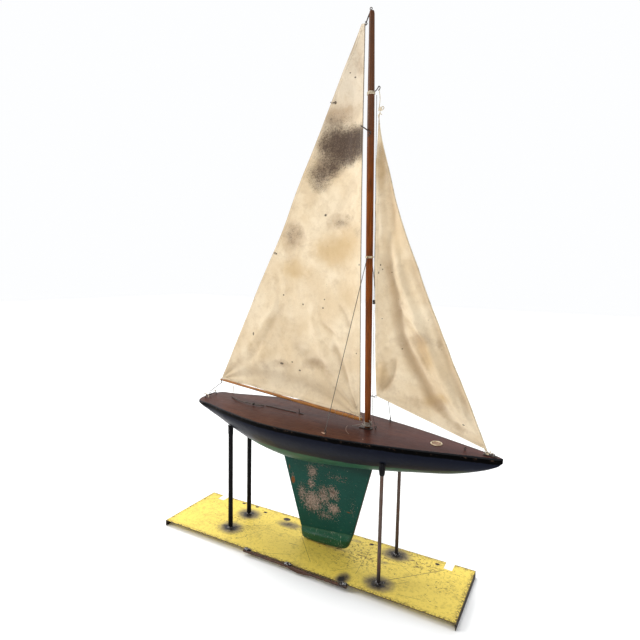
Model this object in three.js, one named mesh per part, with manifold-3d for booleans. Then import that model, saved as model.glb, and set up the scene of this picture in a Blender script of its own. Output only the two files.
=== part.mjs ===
// Free-sailing pond yacht with a mainsail and a jib, resting on a welded four-post stand.
// Millimetres, +X towards the bow, +Y to port, +Z up. The floor is z = 0.
import * as THREE from 'three';
import { mergeVertices } from 'three/addons/utils/BufferGeometryUtils.js';
import Module from 'manifold-3d';

const wasm = await Module();
wasm.setup();

// ---------- driving dimensions ----------
const GAP = 0.3;

// stand
const STAND_CENTRE = [-28.25, -1.35];
const PLATE_LENGTH = 756;
const PLATE_WIDTH = 189;
const PLATE_THICK = 1.6;
const PLATE_TOP = 15;
const ROD_RADIUS = 4;
// posts measured from the middle of the plate; the rubber cap reaches up to the hull
const POSTS = {
  stern_starboard: { at: [-207.8, -37.7], rodTop: 271, capTop: 285, sleeved: true },
  stern_port: { at: [-209.5, 42.5], rodTop: 265, capTop: 279.5, sleeved: true },
  bow_starboard: { at: [205.6, -56.7], rodTop: 262, capTop: 280, sleeved: false },
  bow_port: { at: [202.3, 64.8], rodTop: 288, capTop: 300, sleeved: false },
};
const EDGE_BAR = { aft: -119.7, fore: 150.2, y: -98.1, z: 11.6, radius: 3.2 };

// the yacht's own frame: origin on deck at the mast, turned as she leans on the posts
const YACHT_ORIGIN = [119.49, -3.47, 329.06];
const HEEL = THREE.MathUtils.degToRad(3);
const TRIM = THREE.MathUtils.degToRad(1.2);
const YAW = THREE.MathUtils.degToRad(-2);

// hull lines along x: half-breadth at the deck, and the height of the keel line
const STERN_X = -480;
const BOW_X = 287;
const DECK_THICK = 3;
const DECK_CAMBER = 1.5;
const HULL_WALL = 8;
const HALF_BREADTH = [
  [STERN_X, 0.6], [-478.5, 19], [-474, 33], [-464, 46], [-438, 50], [-416, 54.5], [-353, 73],
  [-250, 95], [-165, 99.5], [-60, 92], [40, 74.5], [120, 55], [190, 34], [245, 17], [277, 6.5], [BOW_X, 0.6],
];
const KEEL_LINE = [
  [STERN_X, -13], [-470, -22], [-455, -34], [-430, -48], [-400, -58], [-330, -82], [-250, -101],
  [-165, -108], [-60, -98], [40, -84], [120, -69.5], [190, -56], [245, -37.5], [277, -21.5], [BOW_X, -11.5],
];

// fin keel and ballast, as corners in the centre plane
const FIN_THICK = 9;
const FIN_TOP = [[-229, -99], [-165, -103.5], [-60, -93.5], [17, -83]];
const FOLD_AFT = [-173, -285];
const FOLD_FORE = [-28, -266];
const FOOT_AFT = [-168, -315];
const FOOT_FORE = [-42, -307];
const BALLAST_THICK = 24;
const KEEL_SCREWS = { aft: -165, fore: -45 };

// spars and sails
// the mast is parallel for three quarters of its height, then tapers; radii are [height, radius]
const MAST = {
  foot: [0, 0, 2.5],
  head: [-15, 0, 857],
  radii: [[2.5, 6.5], [25, 6.6], [80, 7.2], [640, 7.4], [857, 5.4]],
};
const HORSE_X = -466;
const PIVOT = [-8, 0, 17];
const BOOM_ANGLE = THREE.MathUtils.degToRad(4);
const BOOM = { start: 7, end: 452, startZ: 17, endZ: 34.5, radius: 4.3, tipRadius: 2.7 };
const SAIL_THICK = 1.6;
const MAIN = { tack: [12, 22.6], head: [23, 838], clew: [447, 38], headWidth: 7, camber: 16 };
const JIB = { tack: [256, 0, 9], head: [6, 0, 661], clew: [19, 0, 78], camber: 14, luffSag: 25.5 };
const CORD_RADIUS = 0.7;

// ---------- helpers ----------
const root = new THREE.Group();
const yacht = new THREE.Group();
yacht.position.set(...YACHT_ORIGIN);
yacht.rotation.set(HEEL, TRIM, YAW, 'ZYX');
root.add(yacht);

const v3 = (p) => new THREE.Vector3(p[0], p[1], p[2]);

function paint(color, roughness, metalness = 0) {
  return new THREE.MeshStandardMaterial({ color, roughness, metalness });
}

const PAINT = {
  yellow: paint(0xd9c832, 0.55),
  rust: paint(0x5a3320, 0.85, 0.3),
  steel: paint(0x6b5a4c, 0.6, 0.6),
  blackRubber: paint(0x17171a, 0.7),
  hull: paint(0x171a26, 0.3),
  deck: paint(0x6b3f30, 0.3),
  green: paint(0x17503c, 0.45),
  lead: paint(0x0f3a2b, 0.35, 0.1),
  varnish: paint(0x8d4f1e, 0.35),
  boom: paint(0xb8702f, 0.4),
  iron: paint(0x2a2522, 0.5, 0.7),
  brass: paint(0xb79a5c, 0.4, 0.8),
  canvas: paint(0xd9c7a0, 0.9),
  cord: paint(0xcbb996, 0.9),
  darkCord: paint(0x2b2622, 0.9),
  pine: paint(0xc49a62, 0.7),
};

function add(group, name, geometry, material) {
  const mesh = new THREE.Mesh(geometry, material);
  mesh.name = name;
  group.add(mesh);
  return mesh;
}

// piecewise cubic through a table of [x, value] pairs
function along(table, x) {
  let i = 0;
  while (i < table.length - 2 && x > table[i + 1][0]) i += 1;
  const [x0, y0] = table[i];
  const [x1, y1] = table[i + 1];
  const before = table[Math.max(i - 1, 0)];
  const after = table[Math.min(i + 2, table.length - 1)];
  const t = THREE.MathUtils.clamp((x - x0) / (x1 - x0), 0, 1);
  const slope0 = i === 0 ? (y1 - y0) / (x1 - x0) : (y1 - before[1]) / (x1 - before[0]);
  const slope1 = i === table.length - 2 ? (y1 - y0) / (x1 - x0) : (after[1] - y0) / (after[0] - x0);
  const h = x1 - x0;
  const t2 = t * t;
  const t3 = t2 * t;
  return (2 * t3 - 3 * t2 + 1) * y0 + (t3 - 2 * t2 + t) * h * slope0
    + (3 * t2 - 2 * t3) * y1 + (t3 - t2) * h * slope1;
}

// closed body through rings of points, all rings with the same count; the ends are fans
function loft(rings) {
  const count = rings[0].length;
  const points = rings.flat();
  const index = [];
  for (let r = 0; r < rings.length - 1; r += 1) {
    for (let k = 0; k < count; k += 1) {
      const a = r * count + k;
      const b = r * count + ((k + 1) % count);
      index.push(a, b, a + count, b, b + count, a + count);
    }
  }
  const addFan = (ring, first, flip) => {
    const centre = new THREE.Vector3();
    ring.forEach((p) => centre.add(p));
    points.push(centre.divideScalar(count));
    for (let k = 0; k < count; k += 1) {
      const a = first + k;
      const b = first + ((k + 1) % count);
      if (flip) index.push(points.length - 1, a, b);
      else index.push(points.length - 1, b, a);
    }
  };
  addFan(rings[0], 0, false);
  addFan(rings[rings.length - 1], (rings.length - 1) * count, true);
  const geometry = new THREE.BufferGeometry().setFromPoints(points);
  geometry.setIndex(index);
  return outward(geometry);
}

// turns the faces so that the enclosed volume is positive
function outward(geometry) {
  const p = geometry.attributes.position;
  const index = geometry.index.array;
  const a = new THREE.Vector3();
  const b = new THREE.Vector3();
  const c = new THREE.Vector3();
  let volume = 0;
  for (let i = 0; i < index.length; i += 3) {
    a.fromBufferAttribute(p, index[i]);
    b.fromBufferAttribute(p, index[i + 1]);
    c.fromBufferAttribute(p, index[i + 2]);
    volume += a.dot(b.cross(c));
  }
  if (volume < 0) {
    for (let i = 0; i < index.length; i += 3) {
      [index[i + 1], index[i + 2]] = [index[i + 2], index[i + 1]];
    }
  }
  return geometry;
}

function toSolid(geometry) {
  const bare = geometry.index ? geometry.clone() : geometry;
  bare.deleteAttribute('normal');
  bare.deleteAttribute('uv');
  const merged = mergeVertices(bare, 1e-4);
  return new wasm.Manifold(new wasm.Mesh({
    numProp: 3,
    vertProperties: new Float32Array(merged.attributes.position.array),
    triVerts: new Uint32Array(merged.index.array),
  }));
}

function fromSolid(solid) {
  const mesh = solid.getMesh();
  const geometry = new THREE.BufferGeometry();
  geometry.setAttribute('position', new THREE.BufferAttribute(new Float32Array(mesh.vertProperties), 3));
  geometry.setIndex(new THREE.BufferAttribute(new Uint32Array(mesh.triVerts), 1));
  return geometry;
}

function cut(geometry, ...tools) {
  return fromSolid(tools.reduce((body, tool) => body.subtract(toSolid(tool)), toSolid(geometry)));
}

function join(...geometries) {
  return fromSolid(geometries.map(toSolid).reduce((body, other) => body.add(other)));
}

// cylinder or cone between two points
function rod(start, end, startRadius, endRadius = startRadius, sides = 12) {
  const from = v3(start);
  const axis = v3(end).sub(from);
  const geometry = new THREE.CylinderGeometry(endRadius, startRadius, axis.length(), sides);
  geometry.translate(0, axis.length() / 2, 0);
  const up = new THREE.Vector3(0, 1, 0);
  geometry.applyQuaternion(new THREE.Quaternion().setFromUnitVectors(up, axis.normalize()));
  return geometry.translate(from.x, from.y, from.z);
}

// round tube along a smooth curve through the points
function tube(points, radius, steps, sides = 8) {
  const section = new THREE.Shape();
  section.absarc(0, 0, radius, 0, Math.PI * 2, false);
  const path = points.length === 2
    ? new THREE.LineCurve3(v3(points[0]), v3(points[1]))
    : new THREE.CatmullRomCurve3(points.map(v3), false, 'centripetal');
  return new THREE.ExtrudeGeometry(section, {
    steps,
    curveSegments: sides,
    extrudePath: path,
  });
}

// body of revolution about +Z from an [r, z] profile
function turned(profile, sides = 20) {
  const geometry = new THREE.LatheGeometry(profile.map(([r, z]) => new THREE.Vector2(r, z)), sides);
  return geometry.rotateX(Math.PI / 2);
}

function ring(centreRadius, wireRadius, around = 16, across = 8) {
  return new THREE.TorusGeometry(centreRadius, wireRadius, across, around);
}

// thin closed sheet of a given thickness over a grid of points
function sheet(pointAt, across, up, thickness) {
  const offset = new THREE.Vector3(0, thickness / 2, 0);
  const rings = [];
  for (let j = 0; j <= up; j += 1) {
    const front = [];
    const back = [];
    for (let i = 0; i <= across; i += 1) {
      const p = pointAt(i / across, j / up);
      front.push(p.clone().add(offset));
      back.unshift(p.clone().sub(offset));
    }
    rings.push([...front, ...back]);
  }
  return loft(rings);
}

// ---------- stand ----------
function plateSection() {
  // a flat sheet whose two short ends are bent straight down to the floor
  const half = PLATE_LENGTH / 2;
  const outline = new THREE.Shape();
  outline.moveTo(-half, 0);
  outline.lineTo(-half, PLATE_TOP);
  outline.lineTo(half, PLATE_TOP);
  outline.lineTo(half, 0);
  outline.lineTo(half - PLATE_THICK, 0);
  outline.lineTo(half - PLATE_THICK, PLATE_TOP - PLATE_THICK);
  outline.lineTo(-half + PLATE_THICK, PLATE_TOP - PLATE_THICK);
  outline.lineTo(-half + PLATE_THICK, 0);
  outline.closePath();
  return outline;
}

function buildStand() {
  const stand = new THREE.Group();
  stand.position.set(STAND_CENTRE[0], STAND_CENTRE[1], 0);
  root.add(stand);

  const plate = new THREE.ExtrudeGeometry(plateSection(), { depth: PLATE_WIDTH, bevelEnabled: false });
  plate.rotateX(Math.PI / 2);
  plate.translate(0, PLATE_WIDTH / 2, 0);
  const tall = 8 * PLATE_THICK;
  const notches = [[-331, 21, 25], [322, 19, 27]].map(([x, width, depth]) => {
    const block = new THREE.BoxGeometry(width, depth * 2, tall);
    return block.translate(x, PLATE_WIDTH / 2, PLATE_TOP);
  });
  // pits that stop short of the underside
  const pits = [[296.7, 76], [136.2, 75], [-105.4, 72], [-176.9, 73], [-213.8, 86.6], [-258, 84.3]];
  const drills = pits.map(([x, y]) => (
    rod([x, y, PLATE_TOP - 0.9], [x, y, PLATE_TOP + tall / 2], 2.2, 2.2, 12)
  ));
  add(stand, 'stand_plate', cut(plate, ...notches, ...drills), PAINT.yellow);

  const hullInStand = loft(hullStations(STERN_X, BOW_X, 30).map((x) => sectionRing(x, 9, -GAP)));
  yacht.updateMatrix();
  hullInStand.applyMatrix4(yacht.matrix).translate(-STAND_CENTRE[0], -STAND_CENTRE[1], 0);
  for (const [name, post] of Object.entries(POSTS)) {
    const [x, y] = post.at;
    add(stand, `post_${name}`, rod([x, y, PLATE_TOP + GAP], [x, y, post.rodTop], ROD_RADIUS), PAINT.steel);

    const inner = ROD_RADIUS + GAP;
    const bead = turned([
      [inner, PLATE_TOP + GAP], [inner + 4.2, PLATE_TOP + GAP], [inner + 3.2, PLATE_TOP + 2],
      [inner + 1, PLATE_TOP + 4.2], [inner, PLATE_TOP + 4.8], [inner, PLATE_TOP + GAP],
    ], 12);
    add(stand, `post_weld_${name}`, bead.translate(x, y, 0), PAINT.rust);

    const capLow = post.rodTop - 8;
    const outer = ROD_RADIUS + 2.9;
    const cap = turned([
      [0, post.rodTop + GAP], [inner, post.rodTop + GAP], [inner, capLow], [outer, capLow],
      [outer, post.capTop - 1.6], [outer - 1.6, post.capTop], [0, post.capTop],
    ], 14);
    add(stand, `post_cap_${name}`, cut(cap.translate(x, y, 0), hullInStand), PAINT.blackRubber);

    if (post.sleeved) {
      const low = PLATE_TOP + 5.6;
      const high = capLow - GAP;
      const sleeve = turned([
        [inner, low], [inner + 1.9, low], [inner + 1.9, high], [inner, high], [inner, low],
      ], 12);
      add(stand, `post_sleeve_${name}`, sleeve.translate(x, y, 0), PAINT.blackRubber);
    }
  }

  const barEnds = [EDGE_BAR.aft, EDGE_BAR.fore].map((x) => [x, EDGE_BAR.y, EDGE_BAR.z]);
  const bar = rod(...barEnds, EDGE_BAR.radius);
  add(stand, 'stand_edge_bar', bar, PAINT.rust);
  const beads = { aft: EDGE_BAR.aft + 9, middle: 3, fore: EDGE_BAR.fore - 8 };
  for (const [name, x] of Object.entries(beads)) {
    const bead = new THREE.SphereGeometry(4, 10, 6);
    bead.scale(1.5, 0.9, 0.8);
    add(stand, `bar_weld_${name}`, bead.translate(x, EDGE_BAR.y + 3, PLATE_TOP + 3.6), PAINT.rust);
  }
}

// ---------- hull ----------
const sheer = (x) => -3.24 * (x / 378) ** 2;

// half section from the sheer down to the keel line, as [y, z] pairs
function halfSection(x, steps, wall = 0) {
  const breadth = Math.max(along(HALF_BREADTH, x) - wall, 0.3);
  const top = sheer(x) - DECK_THICK - GAP;
  const bottom = along(KEEL_LINE, x) + wall;
  const fullness = THREE.MathUtils.lerp(1.15, 0.92, (x - STERN_X) / (BOW_X - STERN_X));
  const side = [];
  for (let k = 0; k <= steps; k += 1) {
    const angle = (Math.PI / 2) * (k / steps);
    const y = breadth * Math.cos(angle) ** fullness;
    side.push([k === steps ? 0 : y, top - (top - bottom) * Math.sin(angle) ** 1.2]);
  }
  return side;
}

function sectionRing(x, steps, wall = 0, lift = 0) {
  const side = halfSection(x, steps, wall);
  const starboard = side.map(([y, z], k) => new THREE.Vector3(x, -y, k === 0 ? z + lift : z));
  const port = side.slice(0, -1).reverse().map(([y, z], k, all) => (
    new THREE.Vector3(x, y, k === all.length - 1 ? z + lift : z)
  ));
  return [...starboard, ...port];
}

function hullStations(from, to, count) {
  const stations = [];
  for (let i = 0; i <= count; i += 1) {
    const t = i / count;
    stations.push(THREE.MathUtils.lerp(from, to, 0.5 - 0.5 * Math.cos(Math.PI * t)));
  }
  return stations;
}

const screwSeat = (x) => along(KEEL_LINE, x) + HULL_WALL;

function hullBody() {
  const rings = hullStations(STERN_X, BOW_X, 30).map((x) => sectionRing(x, 9));
  const hollow = hullStations(-430, 245, 16).map((x) => sectionRing(x, 6, HULL_WALL, 12));
  const screwHoles = Object.values(KEEL_SCREWS).map((x) => rod([x, 0, -150], [x, 0, 0], 2.4, 2.4, 10));
  const seats = Object.values(KEEL_SCREWS).map((x) => rod([x, 0, screwSeat(x)], [x, 0, 0], 6.4, 6.4, 12));
  return cut(loft(rings), loft(hollow), finBody(GAP), ...screwHoles, ...seats);
}

function deckBody() {
  const rings = hullStations(STERN_X, BOW_X, 32).map((x) => {
    const half = Math.max(along(HALF_BREADTH, x), 0.3);
    const points = [];
    for (let k = 0; k <= 4; k += 1) {
      const y = half * (1 - k / 2);
      const camber = DECK_CAMBER * (half / 99) * ((y / half) ** 2);
      points.push(new THREE.Vector3(x, y, sheer(x) - camber));
    }
    points.push(new THREE.Vector3(x, -half, sheer(x) - DECK_THICK));
    points.push(new THREE.Vector3(x, half, sheer(x) - DECK_THICK));
    return points;
  });
  const plugHole = rod([156, 0, -10], [156, 0, 10], 9 + GAP, 9 + GAP, 20);
  return cut(loft(rings), plugHole);
}

// plan outline in the centre plane made thick across it, edges rounded
function finBody(grow = 0) {
  const outline = new THREE.Shape();
  outline.moveTo(...FIN_TOP[0]);
  FIN_TOP.slice(1).forEach((corner) => outline.lineTo(...corner));
  outline.lineTo(FOLD_FORE[0], FOLD_FORE[1] + GAP);
  outline.lineTo(FOLD_AFT[0], FOLD_AFT[1] + GAP);
  outline.closePath();
  const bevel = 2.4;
  const body = new THREE.ExtrudeGeometry(outline, {
    depth: FIN_THICK - 2 * bevel + 2 * grow,
    bevelThickness: bevel,
    bevelSize: bevel + grow,
    bevelOffset: -bevel,
    bevelSegments: 2,
  });
  body.rotateX(Math.PI / 2);
  return body.translate(0, FIN_THICK / 2 - bevel + grow, 0);
}

// lead foot under the fin: level foil sections, thin at the fold and full below it
function ballastBody() {
  const levels = [[0, 0.42], [0.3, 0.62], [0.62, 0.92], [0.85, 1], [1, 0.72]];
  const rings = levels.map(([t, fullness]) => {
    const aft = [0, 1].map((k) => THREE.MathUtils.lerp(FOLD_AFT[k], FOOT_AFT[k], t));
    const fore = [0, 1].map((k) => THREE.MathUtils.lerp(FOLD_FORE[k], FOOT_FORE[k], t));
    const points = [];
    const count = 20;
    for (let k = 0; k < count; k += 1) {
      const angle = (2 * Math.PI * k) / count;
      const s = 0.5 + 0.5 * Math.cos(angle);
      const bulge = Math.sign(Math.sin(angle)) * Math.abs(Math.sin(angle)) ** 0.7;
      const y = (BALLAST_THICK / 2) * fullness * bulge;
      const x = THREE.MathUtils.lerp(aft[0], fore[0], s);
      points.push(new THREE.Vector3(x, y, THREE.MathUtils.lerp(aft[1], fore[1], s)));
    }
    return points;
  });
  return loft(rings);
}

function buildHull() {
  add(yacht, 'hull_shell', hullBody(), PAINT.hull);
  add(yacht, 'deck', deckBody(), PAINT.deck);
  const screwHoles = Object.values(KEEL_SCREWS).map((x) => rod([x, 0, -160], [x, 0, -60], 2.4, 2.4, 10));
  add(yacht, 'keel_fin', cut(finBody(), ...screwHoles), PAINT.green);
  add(yacht, 'keel_ballast', ballastBody(), PAINT.lead);
  for (const [name, x] of Object.entries(KEEL_SCREWS)) {
    const seat = screwSeat(x) + GAP;
    const head = rod([x, 0, seat], [x, 0, seat + 4], 5.5, 5.5, 8);
    add(yacht, `keel_screw_${name}`, join(rod([x, 0, -158], [x, 0, seat + 2], 2, 2, 8), head), PAINT.iron);
  }
  const under = -DECK_THICK - GAP;
  const step = new THREE.BoxGeometry(36, 18, 66).translate(0, 0, under - GAP - 33);
  add(yacht, 'mast_step_block', step, PAINT.pine);
  const beams = { aft: -220, fore: 90 };
  for (const [name, x] of Object.entries(beams)) {
    const half = along(HALF_BREADTH, x) - HULL_WALL - 4;
    const beam = new THREE.BoxGeometry(14, half * 2, 8).translate(x, 0, sheer(x) + under - GAP - 4);
    add(yacht, `deck_beam_${name}`, beam, PAINT.pine);
  }
}

// ---------- deck fittings ----------
function screwEye(x, y, height, loopRadius, wire) {
  const base = sheer(x) + GAP;
  const loop = ring(loopRadius, wire, 14, 6).rotateX(Math.PI / 2);
  loop.translate(x, y, base + height);
  const stem = rod([x, y, base], [x, y, base + height - loopRadius + wire / 2], wire, wire, 8);
  return join(loop, stem);
}

function buildDeckFittings() {
  const bore = 9 + GAP;
  const ferrule = turned([
    [bore, 0.35], [12.6, 0.35], [12.6, 1.2], [11.8, 1.6], [bore, 1.6], [bore, 0.35],
  ], 28);
  add(yacht, 'plug_ferrule', ferrule.translate(156, 0, sheer(156)), PAINT.brass);
  const cork = turned([[0, -11], [7.6, -11], [8.4, 0], [8.4, 0.6], [7.6, 1.1], [0, 1.1]], 20);
  add(yacht, 'drain_plug', cork.translate(156, 0, sheer(156)), PAINT.varnish);

  add(yacht, 'foredeck_eye', screwEye(214, 0, 4, 2, 0.9), PAINT.iron);
  const bowPlate = new THREE.BoxGeometry(27, 8, 1.4).translate(262.5, 0, sheer(262) + GAP + 0.9);
  const bowLoops = [253, 268].map((x) => {
    const loop = ring(2.1, 1, 12, 6).rotateX(Math.PI / 2);
    return loop.translate(x, 0, sheer(262) + 4.2);
  });
  add(yacht, 'bow_fitting', join(bowPlate, ...bowLoops), PAINT.iron);

  add(yacht, 'starboard_shroud_eye', screwEye(-63, -78.6, 4.5, 2, 0.9), PAINT.iron);
  add(yacht, 'port_shroud_eye', screwEye(26, 68, 4.5, 2, 0.9), PAINT.iron);

  const horseZ = sheer(HORSE_X) + 4.4;
  const horseSide = [[16, horseZ], [20, horseZ - 1], [21, sheer(HORSE_X) - 0.1]];
  const horseStarboard = horseSide.map(([y, z]) => [HORSE_X, -y, z]).reverse();
  const horsePort = horseSide.map(([y, z]) => [HORSE_X, y, z]);
  const horse = tube([...horseStarboard, ...horsePort], 0.95, 16, 8);
  add(yacht, 'sheet_horse', horse.translate(0, 0, 0.9), PAINT.iron);
  const traveller = ring(3.2, 0.8, 14, 6).rotateX(Math.PI / 2);
  add(yacht, 'horse_ring', traveller.translate(HORSE_X, -2, horseZ + 2), PAINT.iron);

  const wireZ = (x) => sheer(x) + GAP;
  const wireRun = [[-410, 20, 1.2], [-389, 8, 1.8], [-370, 0, 2.6], [-349, -6, 3.4], [-330, -8, 3.7],
    [-316, -8.2, 3.7], [-302, -7.2, 3.5], [-292, -3.6, 2.4], [-286, 0.4, 1.2]];
  const wire = tube(wireRun.map(([x, y, rise]) => [x, y, wireZ(x) + rise]), 0.9, 18, 8);
  add(yacht, 'steering_wire', wire, PAINT.iron);
  const bead = turned([[1.5, -2.2], [2.9, -1.4], [3.2, 0], [2.9, 1.4], [1.5, 2.2], [1.5, -2.2]], 12);
  bead.rotateY(Math.PI / 2).rotateZ(0.02);
  add(yacht, 'steering_bead', bead.translate(-314, -8.1, wireZ(-314) + 3.7), PAINT.iron);

  const pinX = -181;
  const pin = join(
    rod([pinX, 0, wireZ(pinX)], [pinX, 0, 11], 1.1, 1.1, 8),
    new THREE.BoxGeometry(14, 5, 1.2).translate(pinX + 5, 0, wireZ(pinX) + 0.6),
  );
  add(yacht, 'deck_pin', pin, PAINT.iron);
  const line = tube([[-284, 4.8, wireZ(-284) + 0.9], [-237, 3, wireZ(-237) + 0.9],
    [-190, 0.6, wireZ(-190) + 0.9]], 0.7, 10, 8);
  add(yacht, 'centring_line', line, PAINT.darkCord);
}

// ---------- rig ----------
const mastAt = (z) => {
  const t = (z - MAST.foot[2]) / (MAST.head[2] - MAST.foot[2]);
  return MAST.foot[0] + (MAST.head[0] - MAST.foot[0]) * t;
};
const mastRadius = (z) => along(MAST.radii, z);

function wireHook(z, reach, side, drop) {
  const x = mastAt(z) + mastRadius(z) + GAP;
  return tube([[x, 0, z], [x + reach * 0.6, side * 0.5, z + 0.4], [x + reach, side, z - drop * 0.4],
    [x + reach * 0.7, side, z - drop]], 0.8, 10, 8);
}

function buildMast() {
  const outline = [[0, MAST.foot[2]]];
  for (let k = 0; k <= 16; k += 1) {
    const z = THREE.MathUtils.lerp(MAST.foot[2], MAST.head[2], k / 16);
    outline.push([mastRadius(z), z]);
  }
  outline.push([0, MAST.head[2]]);
  const spar = turned(outline, 16);
  const place = spar.attributes.position;
  for (let i = 0; i < place.count; i += 1) place.setX(i, place.getX(i) + mastAt(place.getZ(i)));
  add(yacht, 'mast', spar, PAINT.varnish);
  const plate = new THREE.BoxGeometry(30, 16, 1.8).translate(-4, 0, 1.2);
  add(yacht, 'mast_foot_plate', plate, PAINT.iron);
  add(yacht, 'mast_foot_eye', screwEye(17, 5, 4.5, 2, 0.9), PAINT.iron);

  const headZ = MAST.head[2] + GAP;
  const loop = ring(2.3, 0.9, 14, 6).rotateX(Math.PI / 2);
  loop.translate(MAST.head[0] - 2, 0, headZ + 4);
  const stem = rod([MAST.head[0] - 2, 0, headZ], [MAST.head[0] - 2, 0, headZ + 2.2], 0.9, 0.9, 8);
  add(yacht, 'mast_head_eye', join(loop, stem), PAINT.iron);

  add(yacht, 'halyard_hook', wireHook(708, 9, 0, 6), PAINT.iron);
  add(yacht, 'clew_hook', wireHook(75, 7, 0, 5), PAINT.iron);
  const pinZ = 633;
  const pinAft = tube([[mastAt(pinZ) - 4, -mastRadius(pinZ) - 1.2, pinZ - 3],
    [mastAt(pinZ) - 17.5, -12.5, pinZ + 8]], 1, 1, 8);
  add(yacht, 'luff_pin', pinAft, PAINT.iron);

  const bandZ = 377;
  const bandR = mastRadius(bandZ) + GAP;
  const band = turned([[bandR, -2], [bandR + 0.9, -2], [bandR + 0.9, 2], [bandR, 2], [bandR, -2]], 16);
  band.translate(mastAt(bandZ), 0, bandZ);
  const ears = [-1, 1].map((side) => {
    const ear = ring(1.9, 0.8, 12, 6).rotateY(Math.PI / 2);
    return ear.translate(mastAt(bandZ), side * (bandR + 2.9), bandZ);
  });
  add(yacht, 'shroud_band', join(band, ...ears), PAINT.brass);
}

function buildRigging() {
  const bandZ = 377;
  const earY = mastRadius(bandZ) + 3.2;
  add(yacht, 'starboard_shroud', tube([[-63, -78.6, sheer(-63) + 8.2],
    [mastAt(bandZ), -earY - 0.4, bandZ - 3.2]], CORD_RADIUS, 6), PAINT.darkCord);
  add(yacht, 'port_shroud', tube([[26, 68, sheer(26) + 8.2],
    [mastAt(bandZ), earY + 0.4, bandZ - 3.2]], CORD_RADIUS, 6), PAINT.darkCord);

  const hookTip = [mastAt(708) + mastRadius(708) + 7, 0, 700];
  add(yacht, 'jib_halyard', tube([hookTip, [JIB.head[0] + 0.5, 0, JIB.head[2] + 4.5]], 0.7, 4), PAINT.cord);
  const fallX = (z) => mastAt(z) + mastRadius(z) + 2.65;
  const fall = [700, 500, 282, 120, 40].map((z) => [fallX(z), 4, z]);
  fall.push([15.5, 4.5, 9.5]);
  add(yacht, 'halyard_fall', tube(fall, 0.5, 16), PAINT.darkCord);
  const bead = turned([[1, -4.5], [2.4, -3.6], [2.9, 0], [2.4, 3.6], [1, 4.5], [1, -4.5]], 12);
  add(yacht, 'halyard_bowsie', bead.translate(fallX(282), 4, 282), PAINT.blackRubber);
}

// the jib hangs between luff and leech, its luff sagging aft and its belly to port
function jibPoint(u, v) {
  const luff = v3(JIB.tack).lerp(v3(JIB.head), v);
  luff.x -= JIB.luffSag * Math.sin(Math.PI * (1 - v) ** 0.72);
  const leech = v3(JIB.clew).lerp(v3(JIB.head), v);
  leech.x -= 6 * Math.sin(Math.PI * v);
  const point = leech.lerp(luff, u);
  if (v > 0.999) point.x += (u - 0.5) * 5;
  point.y += JIB.camber * Math.sin(Math.PI * u) * Math.sin(Math.PI * Math.min(v * 1.1, 1)) ** 0.6;
  return point;
}

function buildJib() {
  add(yacht, 'jib', sheet(jibPoint, 8, 16, SAIL_THICK), PAINT.canvas);
}

// ---------- boom and mainsail, in a frame at the gooseneck turned with the boom ----------
const swing = new THREE.Group();
swing.position.set(...PIVOT);
swing.position.z = 0;
swing.rotation.z = -BOOM_ANGLE;
yacht.add(swing);

function mainPoint(u, v) {
  // x runs aft from the pivot as a negative number
  const luffX = THREE.MathUtils.lerp(MAIN.tack[0], MAIN.head[0], v) + 3 * Math.sin(Math.PI * v);
  const leechX = THREE.MathUtils.lerp(MAIN.clew[0], MAIN.head[0] + MAIN.headWidth, v);
  const footZ = THREE.MathUtils.lerp(MAIN.tack[1], MAIN.clew[1], u);
  const x = -THREE.MathUtils.lerp(luffX, leechX, u);
  const z = THREE.MathUtils.lerp(footZ, MAIN.head[1], v);
  const belly = MAIN.camber * Math.sin(Math.PI * u ** 0.8) * Math.sin(Math.PI * Math.min(0.08 + v, 1)) ** 0.7;
  return new THREE.Vector3(x, belly, z);
}

function buildBoom() {
  const start = [-BOOM.start, 0, BOOM.startZ];
  const end = [-BOOM.end, 0, BOOM.endZ];
  add(swing, 'boom', rod(start, end, BOOM.radius, BOOM.tipRadius, 12), PAINT.boom);
  const eyeX = -BOOM.start + GAP + 1.2;
  const neck = tube([[eyeX, 0, BOOM.startZ], [eyeX + 3.6, 0, BOOM.startZ - 0.2]], 1, 1, 8);
  add(swing, 'gooseneck_pin', neck, PAINT.iron);
  const eye = ring(2, 0.8, 14, 6).rotateX(Math.PI / 2);
  add(swing, 'boom_end_eye', eye.translate(-BOOM.end + 4, 0, BOOM.endZ - 6.1), PAINT.iron);
  add(swing, 'mainsail', sheet(mainPoint, 8, 18, SAIL_THICK), PAINT.canvas);
}

function buildSheets() {
  const mainSheet = tube([[-452.5, 30, 25], [-460, 14, 12], [HORSE_X - 0.2, -1.7, 8.1]], 0.7, 8);
  add(yacht, 'main_sheet', mainSheet, PAINT.darkCord);
  const guy = tube([[-409, 28.6, 27], [-424, 43, 10], [-428, 46.5, sheer(-428) + 1.6]], 0.5, 8);
  add(yacht, 'boom_guy', guy, PAINT.cord);
}

buildStand();
buildHull();
buildDeckFittings();
buildMast();
buildRigging();
buildJib();
buildBoom();
buildSheets();

export default root;
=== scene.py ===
import math
import random

import bpy
import numpy as np
from mathutils import Matrix, Vector, noise


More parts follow.
